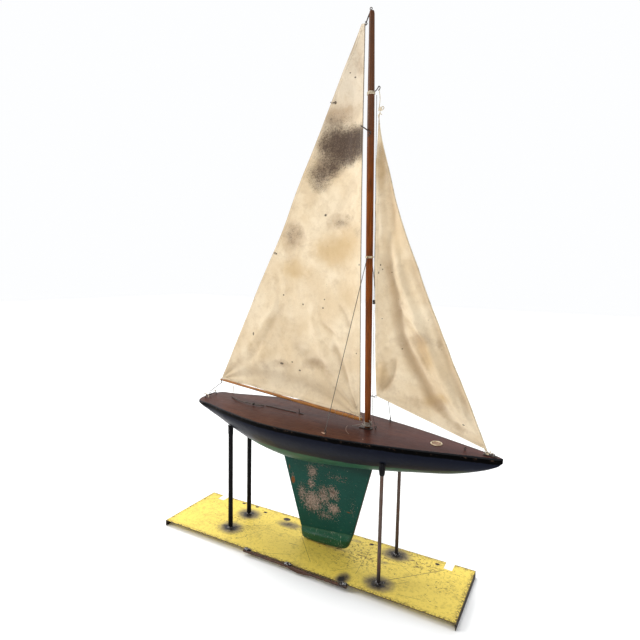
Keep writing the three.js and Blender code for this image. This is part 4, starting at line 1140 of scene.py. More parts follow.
def build_deck_fittings():
    lip = [(9.3, 0.25), (12.1, 0.25), (12.2, 0.9), (11.6, 1.5), (10.7, 1.72), (9.8, 1.5), (9.3, 1.2)]
    make("plug_ring", annulus(lip, (156, 0, sheer(156)), 72), YACHT, BRASS, "yacht", "plug_ferrule")
    cork = lathe([(0, -11), (7.2, -11), (7.7, -10.4), (8.5, 0), (8.5, 0.7), (7.9, 1.15), (3.0, 1.0), (2.4, 0.7),
                  (0, 0.65)], (156, 0, sheer(156)), 56)
    make("deck_plug", cork, YACHT, PLUG_WOOD, "drain_plug", "drain_plug")

    make("foredeck_hook_eye", screw_eye(214, 0, 4, 2, 0.85, 0.5), YACHT, IRON, "yacht", "foredeck_eye")
    make("shroud_plate_eye_starboard", screw_eye(-63, -78.6, 4.5, 2, 0.85, 0.3), YACHT, IRON, "yacht",
         "starboard_shroud_eye")
    make("shroud_plate_eye_port", screw_eye(26, 68, 4.5, 2, 0.85, -0.4), YACHT, IRON, "yacht",
         "port_shroud_eye")
    make("mast_foot_ring", screw_eye(17, 5, 4.5, 2, 0.85, 0.9), YACHT, IRON, "yacht", "mast_foot_eye")

    z = sheer(262)
    bow = Form()
    bow.add(slab(27, 8, 1.1, (262.5, 0, z + 1.0), 0.25, 1.2))
    for x, y in ((252, 2.2), (252, -2.2), (273, 0)):
        bow.add(lathe([(0, 0), (1.6, 0), (1.5, 0.5), (0.8, 0.85), (0, 0.9)], (x, y, z + 1.6), 18))
    bow.add(wire([(255, 0, z + 1.2), (255, 0.2, z + 4.6), (257.5, 0.2, z + 6.4), (260, 0, z + 4.4),
                  (260.5, 0, z + 1.4)], 0.95, 36))
    bow.add(wire([(266, -0.6, z + 1.4), (266, -0.4, z + 3.8), (268.2, 0.2, z + 5.2), (270.8, 0.6, z + 4.0),
                  (271, 0.6, z + 1.4)], 0.9, 36))
    bow.add(wire([(262, 1.6, z + 1.6), (264, 2.4, z + 3.2), (266.5, 2.6, z + 4.4)], 0.7, 20))
    make("bow_plate_and_hooks", bow, YACHT, IRON, "yacht", "bow_fitting")

    hx = -466
    hz = sheer(hx) + 5.3
    horse = wire([(hx, -21, sheer(hx) + 0.5), (hx, -20.4, hz - 1.6), (hx, -18.4, hz - 0.1), (hx, -14, hz),
                  (hx, 14, hz), (hx, 18.4, hz - 0.1), (hx, 20.4, hz - 1.6), (hx, 21, sheer(hx) + 0.5)], 1.1, 90, 12)
    horse_form = Form().add(horse)
    for side in (-21, 21):
        horse_form.add(lathe([(0, 0), (2.3, 0), (2.2, 0.5), (1.3, 0.9), (0, 0.95)], (hx, side, sheer(hx) + 0.2), 20))
    make("sheet_horse_wire", horse_form, YACHT, IRON, "yacht", "sheet_horse")
    make("sheet_ring", hoop((hx, -2, hz + 1.1), 3.2, 0.75, "Y", 36, 12), YACHT, IRON, "horse_ring", "horse_ring")

    deck_z = lambda x: sheer(x) + 0.3
    run = [(-410, 20, 1.2), (-389, 8, 1.8), (-370, 0, 2.6), (-349, -6, 3.4), (-330, -8, 3.7), (-316, -8.2, 3.7),
           (-302, -7.2, 3.5), (-292, -3.6, 2.4), (-286, 0.4, 1.2)]
    guide = wire([(x, y, deck_z(x) + rise) for x, y, rise in run], 1.25, 140, 14, 0.05)
    make("curved_guide_wire", guide, YACHT, IRON, "yacht", "steering_wire")

    pin = Form()
    pin.add(slab(14, 5, 0.9, (-176, 0, deck_z(-181) + 0.5), 0.15, 1.0))
    pin.add(wire([(-181, 0, deck_z(-181) + 0.4), (-181, 0, 7), (-181.4, 0, 11.2)], 1.05, 24, 12))
    for x in (-177, -172):
        pin.add(lathe([(0, 0), (1.1, 0), (1.0, 0.35), (0, 0.6)], (x, 0, deck_z(x) + 0.9), 14))
    make("upright_pin_plate", pin, YACHT, IRON, "yacht", "deck_pin")
    make("deck_centring_line", rope([(-284, 4.8, deck_z(-284) + 0.9), (-262, 4.6, deck_z(-262) + 0.9),
                                     (-237, 3.0, deck_z(-237) + 0.9), (-210, 2.0, deck_z(-210) + 0.9),
                                     (-190, 0.6, deck_z(-190) + 0.9)], 1.15), YACHT, DARK_CORD, "yacht",
         "centring_line")


# ---------- rig ----------
def mast_at(z):
    return -15 * (z - 2.5) / 854.5


def mast_radius(z):
    return along([(2.5, 6.5), (25, 6.6), (80, 7.2), (640, 7.4), (857, 5.4)], z)


def mast_loop(z, lift, extra, radius, turns, seed=0.0, strands=3):
    """Cord wound round the mast."""
    points = []
    count = int(turns * 14)
    for k in range(count + 1):
        a = 2 * math.pi * k / 14 + seed
        h = z + lift * k / count
        r = mast_radius(z) + radius * 0.8 + extra
        points.append((mast_at(h) + r * math.cos(a), r * math.sin(a), h + 0.35 * math.sin(3 * a)))
    return rope(points, radius, strands)


def knot(centre, size, radius, seed):
    """A small tangle of cord."""
    rng = random.Random(seed)
    points = []
    for k in range(9):
        a = k * 2.4
        points.append((centre[0] + size * math.cos(a) * (0.6 + 0.4 * rng.random()),
                       centre[1] + size * 0.7 * math.sin(a * 1.3),
                       centre[2] + size * math.sin(a) * (0.6 + 0.4 * rng.random())))
    return rope(points, radius)


def build_mast():
    rings = []
    for j in range(181):
        z = 2.5 + 854.0 * j / 180
        r = mast_radius(z)
        if z > 853:
            r -= 0.9 * ((z - 853) / 3.5) ** 2
        ring = []
        for k in range(32):
            a = 2 * math.pi * k / 32
            flat = 1 + 0.012 * noise.noise(Vector((z * 0.02, math.cos(a), math.sin(a))))
            ring.append((mast_at(z) + r * flat * math.cos(a), r * flat * math.sin(a), z))
        rings.append(ring)
    make("varnished_mast", loft(rings), YACHT, MAST, "yacht", "mast", 50)

    foot = Form().add(slab(30, 16, 1.3, (-4, 0, 1.15), 0.1, 2.0))
    for x, y in ((-15.5, 5), (-15.5, -5), (8, 5), (8, -5)):
        foot.add(lathe([(0, 0), (1.7, 0), (1.6, 0.5), (0.9, 0.95), (0, 1.0)], (x, y, 1.8), 18))
    make("mast_step_plate", foot, YACHT, IRON, "yacht", "mast_foot_plate")

    top = Form().add(hoop((-17, 0, 861.2), 2.3, 0.85, "Y", 32, 10))
    top.add(wire([(-17, 0, 856.2), (-17, 0, 859.4)], 0.95, 12))
    top.add(lathe([(0, 0), (2.0, 0), (1.8, 0.5), (0.9, 0.8), (0, 0.8)], (-17, 0, 856.2), 18))
    make("mast_top_eye", top, YACHT, IRON, "yacht", "mast_head_eye")

    x = mast_at(708) + mast_radius(708)
    hook = Form().add(wire([(x - 1.5, 0, 705), (x + 3, -0.6, 706.5), (x + 6.8, 0, 710.5), (x + 9.6, 0, 714.4),
                            (x + 12.2, 0, 712.4), (x + 11.2, 0, 708.4), (x + 8.2, 0, 706.8)], 1.0, 60))
    make("halyard_wire_hook", hook, YACHT, IRON, "yacht", "halyard_hook")
    make("halyard_hook_lashing", mast_loop(700, 6.5, 0, 0.85, 3.2, 1.0), YACHT, CORD, "yacht", None)

    x = mast_at(75) + mast_radius(75)
    clew = Form().add(wire([(x - 0.6, 0, 75), (x + 3, 0.2, 75.6), (x + 6.2, 0, 75.8), (x + 8.0, 0, 74.2),
                            (x + 6.8, 0, 72.6)], 0.95, 50))
    clew.add(lathe([(0, 0), (2.1, 0), (1.9, 0.8), (0, 1.2)], (x - 0.4, 0, 75), 18, "X"))
    make("clew_wire_hook", clew, YACHT, IRON, "yacht", "clew_hook")

    z = 633
    m, r = mast_at(z), mast_radius(z)
    pin = Form().add(wire([(m + 5.2, -r - 0.2, z - 7), (m - 2, -r - 1.4, z - 2.6), (m - 10, -r - 3.0, z + 3.2),
                           (m - 17.2, -12.4, z + 8.0)], 1.35, 50, 12))
    pin.add(lump((m + 2.0, -r - 0.6, z - 9.5), (2.2, 1.5, 1.8), 3.0, 0.2))
    pin.add(lump((m - 2.0, -r - 0.4, z - 12.5), (1.6, 1.3, 2.2), 5.0, 0.2))
    pin.add(wire([(m + 5.4, 0.6, z - 6.6), (m + 6.6, -1.2, z - 6.8), (m + 7.0, -1.4, z - 8.2)], 0.9, 16))
    make("luff_peg", pin, YACHT, IRON, "yacht", "luff_pin")

    z = 377
    m, r = mast_at(z), mast_radius(z)
    strap = [(r + 0.12, -2.2), (r + 0.9, -2.1), (r + 1.05, 0), (r + 0.9, 2.1), (r + 0.12, 2.2)]
    band = Form().add(annulus(strap, (m, 0, z), 48))
    for side in (-1, 1):
        band.add(hoop((m, side * (r + 3.1), z), 1.95, 0.75, "X", 26, 10))
    band.add(wire([(m + r + 0.4, 0, z), (m + r + 4, 0.2, z + 0.4), (m + r + 7.4, 0.2, z - 0.2)], 0.6, 20))
    make("shroud_mast_band", band, YACHT, BRASS, "yacht", "shroud_band")

    lash = Form()
    lash.add(mast_loop(6.5, 5.5, 0, 1.15, 2.6, 2.2))
    lash.add(mast_loop(13.5, 1.5, 0.3, 1.05, 1.1, 0.4))
    lash.add(rope([(-10.5, -5.4, 10.6), (-8, -8.2, 9.6), (-3, -8.8, 8.6), (4, -7.8, 7.6), (8.8, -2, 9.0),
                   (8.8, 3, 12)], 1.0))
    lash.add(rope([(8.8, 3, 12), (9.6, -3.4, 15), (8.4, -6.8, 19), (6.8, -7.6, 22.5)], 0.8, fray=0.1, seed=2))
    lash.add(knot((6.5, -6.6, 8.6), 2.0, 0.9, 5))
    lash.add(rope([(-10.5, -6, 10.4), (-18, -8.5, 7.4), (-26, -8.0, 4.6), (-33, -9.5, 2.6)], 0.7, fray=0.1))
    make("mast_foot_lashing", lash, YACHT, LUFF_CORD, "yacht", None)


def build_rigging():
    ear = mast_radius(377) + 3.2
    top = mast_at(377)
    for side, name, start in ((-1, "starboard", (-63, -78.6, sheer(-63) + 7.4)), (1, "port", (26, 68, sheer(26) + 7.4))):
        end = (top, side * (ear + 0.4), 375.2)
        line = Form().add(rope([start, end], 0.75, 2, 10, 5.0, step=2.2))
        line.add(lump((start[0], start[1], start[2] + 0.8), (1.3, 1.3, 1.8), side + 3, 0.25))
        line.add(lump((end[0], end[1], end[2] + 0.4), (1.2, 1.2, 1.7), side + 6, 0.25))
        make(f"{name}_shroud_line", line, YACHT, DARK_CORD, "yacht", f"{name}_shroud")

    hook = (mast_at(708) + mast_radius(708) + 10.6, 0.3, 706.6)
    halyard = Form().add(rope([hook, (7.5, 0.3, 690), (5.4, 0, 667.5)], 0.8))
    halyard.add(knot((8.6, 0, 671), 4.2, 0.95, 11))
    halyard.add(rope([(9, 0, 672), (12.5, 0.8, 675.4), (16.2, 0.4, 673.2), (14.6, 0, 669.2), (11, 0, 668)], 0.9))
    halyard.add(rope([(8, 0, 668), (9.6, -0.8, 662), (12.8, -0.6, 659.5)], 0.8, fray=0.1))
    make("jib_halyard_cord", halyard, YACHT, CORD, "yacht", "jib_halyard")

    fall_slope = (mast_at(482) - mast_at(132) + mast_radius(482) - mast_radius(132)) / 350
    fall_x = lambda z: mast_at(282) + mast_radius(282) + 2.65 + fall_slope * (z - 282)
    fall = [(fall_x(z), 4, z) for z in (700, 500, 282, 120, 40)] + [(15.5, 4.5, 9.5)]
    make("halyard_fall_line", rope(fall, 0.55, 2, 8, 4.5, step=3.0), YACHT, DARK_CORD, "yacht", "halyard_fall")
    bead = lathe([(1.15, -4.7), (2.2, -4.3), (3.0, -2.6), (3.0, -1.2), (2.2, -0.2), (3.0, 0.9), (3.1, 2.6),
                  (2.3, 4.3), (1.15, 4.7)], (fall_x(282), 4, 282), 32)
    make("black_bowsie", bead, YACHT, BEAD_BLACK, "halyard_bowsie", "halyard_bowsie")
    slider = annulus([(1.45, -2.3), (2.5, -2.1), (3.15, -0.8), (3.15, 0.8), (2.5, 2.1), (1.45, 2.3)], (0, 0, 0), 36, "X")
    bead_place = Vector((-314, -8.1, sheer(-314) + 4.0)) * MM
    turn = YACHT @ Matrix.Translation(bead_place) @ Matrix.Rotation(0.02, 4, "Z")
    make("guide_bead", slider, turn, BEAD_IRON, "steering_bead", "steering_bead")


# ---------- sails ----------
def ridge(value, centre, width):
    """A soft fold: 1 on its line, falling off to both sides."""
    return np.exp(-((value - centre) / width) ** 2)


def cloth_noise(x, z, scale, seed, octaves=4):
    out = np.zeros_like(x)
    for index in np.ndindex(x.shape):
        out[index] = noise.fractal(Vector((x[index] * scale, z[index] * scale, seed)), 0.9, 2.0, octaves)
    return out


def blobs(x, z, rows):
    """Soft union of oval patches, 0 to 1; each row is x, z, half-width, half-height, turn, weight."""
    clear = np.ones_like(x)
    for cx, cz, rx, rz, turn, weight in rows:
        c, s = math.cos(math.radians(turn)), math.sin(math.radians(turn))
        a = ((x - cx) * c + (z - cz) * s) / rx
        b = ((z - cz) * c - (x - cx) * s) / rz
        clear = clear * (1 - weight * np.exp(-(a * a + b * b) ** 1.4))
    return 1 - clear


def crease(x, z, path, width, height):
    """A fold along a broken line, dying away towards both of its ends."""
    best = np.full_like(x, 1e9)
    share = np.zeros_like(x)
    lengths = [math.dist(a, b) for a, b in zip(path, path[1:])]
    total, run = sum(lengths), 0.0
    for (ax, az), (bx, bz), long in zip(path, path[1:], lengths):
        t = np.clip(((x - ax) * (bx - ax) + (z - az) * (bz - az)) / long ** 2, 0, 1)
        far = np.hypot(x - ax - t * (bx - ax), z - az - t * (bz - az))
        nearer = far < best
        best = np.where(nearer, far, best)
        share = np.where(nearer, (run + t * long) / total, share)
        run += long
    fade = np.minimum(1, np.minimum(share, 1 - share) * 6 + 0.05)
    return height * fade * np.exp(-(best / width) ** 2)


def build_mainsail():
    columns, rows = 150, 270
    u, v = np.meshgrid(np.linspace(0, 1, columns), np.linspace(0, 1, rows))
    luff = 12 + (23 - 12) * v + 3 * np.sin(np.pi * v)
    leech = 447 + (30 - 447) * v
    leech = leech + 1.2 * np.sin(v * 23) * np.sin(np.pi * v) - 5 * np.sin(np.pi * v) ** 2
    foot = 22.6 + 15.4 * u - 1.0 * np.sin(np.pi * u)
    x = -(luff + (leech - luff) * u)
    z = foot + (838 - foot) * v
    z = z + 1.2 * np.sin(u * 19) * (1 - v) ** 8
    belly = 16 * np.sin(np.pi * u ** 0.8) * np.sin(np.pi * np.minimum(0.02 + v, 1)) ** 0.7
    # the cloth bags out just above the boom
    folds = 11 * np.exp(-((z - foot - 26) / 24) ** 2) * np.sin(np.pi * np.clip(u, 0, 1)) ** 0.6
    folds = folds * np.clip((z - foot) / 12, 0, 1)
    # creases that fan out from the tack
    tx, tz = x + 14, z - 24
    angle = np.degrees(np.arctan2(tz, -tx))
    far = np.hypot(tx, tz)
    fade = np.exp(-far / 190) * np.minimum(far / 14, 1)
    fan = np.zeros_like(x)
    for at, width, size in ((12, 2.4, 2.2), (24, 3.0, -2.0), (36, 2.6, 2.4), (45, 2.4, 2.4), (53, 2.8, -5.0),
                            (62, 2.2, 2.8), (70, 2.4, -2.0), (79, 2.0, 1.4)):
        fan = fan + size * ridge(angle, at + 3 * np.sin(far / 60 + at), width * 1.4) * fade * 1.25
    # folds from the clew
    cx, cz = x + 447, z - 38
    c_angle = np.degrees(np.arctan2(cz, cx))
    c_far = np.hypot(cx, cz)
    for at, width, size in ((6, 3, -2.4), (14, 4, 2.6), (26, 5, -2.2), (40, 5, 2.0), (52, 4, -1.6)):
        fan = fan + size * ridge(c_angle, at, width) * np.exp(-c_far / 150) * np.minimum(c_far / 14, 1)
    # single creases where the cloth was once folded away
    sharp = crease(x, z, [(-132, 226), (-108, 210), (-86, 198), (-58, 186)], 4.0, 2.4)
    sharp = sharp + crease(x, z, [(-128, 238), (-92, 221), (-70, 212)], 4.5, -2.0)
    sharp = sharp + crease(x, z, [(-84, 276), (-60, 250), (-40, 214)], 5.0, 1.8)
    sharp = sharp + crease(x, z, [(-68, 284), (-42, 256), (-28, 222)], 5.0, -1.6)
    sharp = sharp + crease(x, z, [(-92, 180), (-72, 140), (-46, 84)], 9.0, 3.0)
    sharp = sharp + crease(x, z, [(-160, 240), (-128, 160), (-86, 96)], 10.0, -2.4)
    sharp = sharp + crease(x, z, [(-250, 290), (-272, 240), (-318, 176), (-372, 110)], 8.0, -2.2)
    sharp = sharp + crease(x, z, [(-236, 262), (-292, 176), (-350, 100)], 9.0, 2.0)
    sharp = sharp + crease(x, z, [(-214, 168), (-160, 128), (-104, 112)], 11.0, 2.6)
    sharp = sharp + crease(x, z, [(-30, 560), (-70, 500), (-120, 420)], 12.0, 1.8)
    sharp = sharp + crease(x, z, [(-40, 700), (-52, 620), (-60, 540)], 9.0, -1.6)
    waves = cloth_noise(x, z, 0.011, 2.0, 3) * 3.4 + cloth_noise(x, z, 0.035, 8.0, 4) * 0.9
    pinned = np.clip(np.minimum(np.minimum(u * 9, (1 - v) * 12), (1 - u) * 7 + 0.15), 0, 1) * np.minimum(v * 16, 1)
    flutter = 1.4 * np.sin(v * 15 + 1) * u ** 6 * np.sin(np.pi * v)
    belly = belly + folds + fan + sharp + waves * pinned + flutter
    hem = np.minimum(np.minimum(u * (leech - luff), (1 - u) * (leech - luff)), (z - foot) + 0.4)
    thick = 0.55 + 0.45 * (hem < 6)
    grid = np.dstack([x, belly, z])
    mould = blobs(x, z, [
        (-14, 612, 26, 32, 0, 0.95), (-40, 622, 30, 25, 0, 0.92), (-72, 620, 38, 27, 5, 0.95),
        (-108, 622, 30, 24, 10, 0.80), (-84, 590, 42, 30, 35, 0.78), (-50, 592, 34, 24, 20, 0.70),
        (-118, 578, 34, 36, 40, 0.55), (-146, 550, 26, 28, 30, 0.46), (-118, 548, 28, 24, 0, 0.42),
        (-136, 524, 20, 12, 0, 0.36), (-78, 664, 40, 22, 0, 0.30), (-104, 655, 26, 24, 0, 0.34),
        (-32, 765, 18, 24, 0, 0.24), (-80, 450, 22, 9, -10, 0.46), (-62, 462, 18, 8, -20, 0.30),
        (-30, 428, 18, 14, 0, 0.28), (-204, 430, 26, 24, 20, 0.36), (-214, 408, 12, 20, 20, 0.26),
        (-120, 467, 5, 5, 0, 0.5), (-94, 440, 12, 8, 0, 0.26)])
    # Brown patches: dirt, except the two low patches near (-151, 122) and (-96, 112), which are painted shade.
    dirt_and_shade = blobs(x, z, [
        (-78, 672, 60, 26, 0, 0.75), (-34, 765, 22, 30, 0, 0.60), (-204, 425, 34, 40, 20, 0.70),
        (-80, 448, 60, 26, 0, 0.55), (-151, 122, 40, 18, 10, 0.70), (-96, 112, 34, 26, 30, 0.55),
        (-242, 109, 40, 14, 0, 0.60), (-300, 96, 50, 16, 0, 0.40), (-120, 225, 40, 26, 20, 0.35),
        (-60, 330, 40, 60, 0, 0.30), (-222, 380, 20, 40, 20, 0.45), (-330, 130, 40, 30, 0, 0.30)])
    # The fold layer marks the valleys of the creases, where the cloth is darkened as painted shade.
    layers = {"hem": hem, "run": z, "fold_shade": np.clip((fan + sharp) / 7, 0, 1), "mould": mould, "dirt_and_shade": dirt_and_shade}
    doubled = {key: np.concatenate([value.ravel(), value.ravel()]) for key, value in layers.items()}
    sail = make("main_sail_cloth", drape(grid, thick), SWING, MAIN_CLOTH, "boom", "mainsail", 60, doubled)
    return sail


def luff_sag(t):
    return 25.5 * np.sin(np.pi * t ** 0.72)


def build_jib():
    columns, rows = 96, 220
    u, v = np.meshgrid(np.linspace(0, 1, columns), np.linspace(0, 1, rows))
    luff_x = 256 + (6 - 256) * v - luff_sag(1 - v)
    luff_z = 9 + (661 - 9) * v
    leech_x = 19 + (6 - 19) * v - 6 * np.sin(np.pi * v)
    leech_z = 78 + (661 - 78) * v
    spread = np.clip((v - 0.985) / 0.015, 0, 1)
    luff_x = luff_x + 2.2 * spread
    leech_x = leech_x - 2.2 * spread
    x = leech_x + (luff_x - leech_x) * u
    z = leech_z + (luff_z - leech_z) * u
    y = 14 * np.sin(np.pi * u) * np.sin(np.pi * np.minimum(v * 1.1, 1)) ** 0.6
    # the long hollow and ridge that hang from the head and swing into the tack
    sharp = crease(x, z, [(10, 640), (14, 600), (25, 568), (34, 520), (42, 470), (46, 420)], 7.0, 3.4)
    sharp = sharp + crease(x, z, [(6, 650), (9, 590), (14, 500), (20, 420), (26, 380)], 8.0, -3.4)
    sharp = sharp + crease(x, z, [(30, 440), (34, 392), (38, 346), (54, 290), (60, 245), (80, 187), (115, 130),
                                  (137, 94), (180, 52), (224, 24)], 11.0, 7.0)
    sharp = sharp + crease(x, z, [(38, 420), (48, 372), (65, 315), (98, 252), (125, 205), (152, 146), (188, 88),
                                  (226, 36), (246, 16)], 13.0, -8.0)
    sharp = sharp + crease(x, z, [(70, 420), (96, 345), (128, 278), (152, 222), (176, 160), (206, 96), (240, 34)],
                           9.0, 4.2)
    sharp = sharp + crease(x, z, [(50, 300), (72, 258), (94, 246), (110, 222), (128, 214)], 6.0, -3.4)
    sharp = sharp + crease(x, z, [(58, 276), (80, 240), (104, 226)], 5.0, 2.4)
    sharp = sharp + crease(x, z, [(62, 240), (90, 200), (118, 160), (140, 118)], 7.0, -2.6)
    # folds that rise from the clew
    sharp = sharp + crease(x, z, [(19, 78), (44, 106), (54, 130), (58, 168)], 5.5, 3.6)
    sharp = sharp + crease(x, z, [(20, 82), (28, 116), (32, 160)], 7.0, -3.0)
    sharp = sharp + crease(x, z, [(20, 80), (62, 92), (104, 84)], 7.0, -2.6)
    sharp = sharp + crease(x, z, [(20, 78), (64, 76), (120, 66)], 5.0, 2.0)
    # narrow creases that run into the tack
    sharp = sharp + crease(x, z, [(130, 74), (176, 50), (216, 28), (250, 12)], 4.0, -2.4)
    sharp = sharp + crease(x, z, [(150, 118), (184, 76), (222, 32), (250, 12)], 5.0, 3.0)
    sharp = sharp + crease(x, z, [(188, 118), (208, 78), (232, 38), (251, 13)], 3.6, -2.2)
    waves = cloth_noise(x, z, 0.013, 21.0, 3) * 3.2 + cloth_noise(x, z, 0.045, 4.0, 4) * 1.0
    pinned = np.clip(np.minimum(v * 10, (1 - v) * 8), 0, 1)
    y = y + (waves + sharp * 1.55) * pinned
    width = np.maximum(luff_x - leech_x, 1)
    hem = np.minimum(np.minimum(u * width, (1 - u) * width), (z - (78 - 69 * u)) + 0.4)
    seam_z = 211 + 0.03 * x + 2.0 * np.sin(x * 0.09)
    seam = np.exp(-((z - seam_z) / 1.3) ** 2) * (x < 150)
    thick = 0.55 + 0.45 * (hem < 6) + 0.35 * seam
    dirt_and_shade = blobs(x, z, [
        (14, 560, 14, 80, 0, 0.55), (34, 350, 20, 20, 0, 0.35), (58, 282, 16, 22, 0, 0.50), (112, 214, 26, 18, 0, 0.75),
        (118, 176, 18, 34, 20, 0.60), (34, 160, 26, 50, 0, 0.45), (40, 104, 30, 20, 0, 0.60), (112, 78, 50, 14, -15, 0.55),
        (158, 82, 26, 16, -20, 0.55), (196, 44, 34, 10, -20, 0.60), (150, 210, 10, 16, 0, 0.55), (80, 196, 26, 20, 0, 0.40)])
    # The fold layer marks the valleys of the creases, where the cloth is darkened as painted shade.
    layers = {"hem": np.minimum(hem, 5.6 + np.abs(z - seam_z) + 60 * (x > 150)), "run": z + x,
              "fold_shade": np.clip(sharp / 8, 0, 1), "mould": blobs(x, z, [(18, 352, 8, 12, 0, 0.25)]), "dirt_and_shade": dirt_and_shade}
    doubled = {key: np.concatenate([value.ravel(), value.ravel()]) for key, value in layers.items()}
    sail = make("jib_sail_cloth", drape(np.dstack([x, y, z]), thick), YACHT, JIB_CLOTH, "yacht", "jib",
                60, doubled)

    edge = [tuple(Vector((luff_x[j, 0] + 0.9, y[j, -1], luff_z[j, 0] + 0.4))) for j in range(0, rows, 9)]
    make("jib_luff_rope", rope([(257.5, 0, 4.6), *edge[1:], (7.5, 0, 664)], 0.85, step=1.6), YACHT, CORD, "yacht", None)
    tack = Form()
    tack.add(rope([(251, 0, 13), (254, 0.6, 8), (257.5, 0.4, 3.6), (260, -0.6, 1.0), (256.5, -1.8, 1.2),
                   (253.4, -1.2, 5), (251.6, 0, 10)], 0.9))
    tack.add(knot((258.4, 0, 1.4), 2.6, 0.9, 8))
    tack.add(rope([(259, 0, 3), (262.5, -0.8, 6.6), (264, -1.2, 11.2)], 0.8, fray=0.12, seed=1))
    tack.add(rope([(259, 0, 3), (264, 1.0, 4.4), (268.6, 1.8, 3.6)], 0.75, fray=0.12, seed=4))
    make("jib_tack_lashing", tack, YACHT, CORD, "yacht", None)
    clew = Form().add(hoop((17.6, 0.2, 76.6), 2.2, 0.65, "Y", 26, 10))
    make("jib_clew_ring", clew, YACHT, IRON, "yacht", None)


def build_boom():
    start, end = Vector((-7, 0, 17)), Vector((-452, 0, 34.5))
    rings = []
    for j in range(141):
        t = j / 140
        centre = start.lerp(end, t)
        r = 4.3 + (2.7 - 4.3) * t
        r *= min(1.0, 0.72 + 8 * min(t, 1 - t))
        ring = []
        for k in range(28):
            a = 2 * math.pi * k / 28
            uneven = 1 + 0.03 * noise.noise(Vector((centre.x * 0.02, math.cos(a), math.sin(a))))
            ring.append((centre.x, centre.y + r * uneven * math.cos(a), centre.z + r * uneven * math.sin(a)))
        rings.append(ring)
    make("varnished_boom", loft(rings), SWING, BOOM, "boom", "boom", 50)
    neck = Form().add(wire([(-12, 0, 17.2), (-6.6, 0, 17), (-2.3, 0, 16.8)], 1.0, 24))
    make("gooseneck_wire", neck, SWING, IRON, "boom", "gooseneck_pin")
    make("boom_tip_eye", Form().add(hoop((-448, 0, 28.4), 2.0, 0.75, "Y", 28, 10)).add(
        wire([(-448, 0, 30.5), (-448, 0, 34)], 0.8, 10)), SWING, IRON, "boom", "boom_end_eye")

    # lacing: one cord wound round the boom and through the foot of the sail
    points = []
    turns = 5
    for k in range(turns * 12 + 1):
        a = 2 * math.pi * k / 12
        along_boom = -16 - 16.8 * k / 12 - 2.2 * math.sin(k * 0.37)
        t = (along_boom + 7) / -445
        base = start.lerp(end, t)
        r = 4.3 - 1.6 * t + 0.4
        rise = 3.4 * max(0.0, math.sin(a)) ** 2
        points.append((along_boom, r * math.cos(a), base.z + r * math.sin(a) + rise))
    lacing = Form().add(rope(points, 0.36, 2, 8, 4.0, step=2.2))
    for at in (-205, -262, -322, -384, -440):
        t = (at + 7) / -445
        base = start.lerp(end, t)
        r = 4.3 - 1.6 * t + 0.5
        loop = [(at + 1.4 * math.sin(2 * a), r * math.cos(a), base.z + r * math.sin(a) + 3.2 * max(0, math.sin(a)) ** 2)
                for a in [2 * math.pi * k / 16 for k in range(17)]]
        lacing.add(rope(loop, 0.38, 2, 8, 4.0))
    make("foot_lacing", lacing, SWING, LUFF_CORD, "boom", None)

    tie = Form()
    tie.add(rope([(-8, -0.5, 21), (-11.5, -3.4, 25), (-14, -1.2, 28), (-12, 2.2, 25), (-9, 3.8, 20), (-8.5, 0.5, 13.4),
                  (-9.5, -4.0, 16.5), (-12, -2.2, 24)], 0.75))
    tie.add(knot((-10.6, -3.2, 22.4), 1.8, 0.7, 3))
    make("tack_tie", tie, SWING, CORD, "boom", None)
    clew = Form().add(rope([(-446, 0.4, 40), (-449.5, -2.2, 36), (-450, -2.6, 33), (-449, 0.4, 31.6), (-448, 2.8, 34),
                            (-447, 2.0, 38.6), (-446, 0.4, 41)], 0.7))
    make("clew_tie", clew, SWING, CORD, "boom", None)

    bolt = []
    for j in range(25):
        t = j / 24
        bolt.append((-(12 + 11 * t + 3 * math.sin(math.pi * t)) + 0.9, 0, 24 + 813 * t))
    make("luff_bolt_cord", rope(bolt, 0.75, 2, 8, 5.0, step=2.4), SWING, LUFF_CORD, "boom", None)
    loops = Form()
    for z, x in ((700, -96), (380, -253.8)):
        loops.add(wire([(x + 3, 0, z - 1.5), (x - 2, 0.8, z + 1.0), (x - 6.5, 0.4, z + 1.4), (x - 5, -0.6, z - 0.6),
                        (x + 2, 0, z - 2.2)], 0.55, 30))
    make("leech_loops", loops, SWING, IRON, "boom", None)


def crossing(name, paths, where, material, node):
    """A cord tied to the yacht at one end and to the boom at the other."""
    form = Form()
    for path, radius in paths:
        form.add(rope(path, radius, 2, 8, 4.5, step=1.6))
    piece = make(name, form, where, material, None, node)
    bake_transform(piece)
    return piece


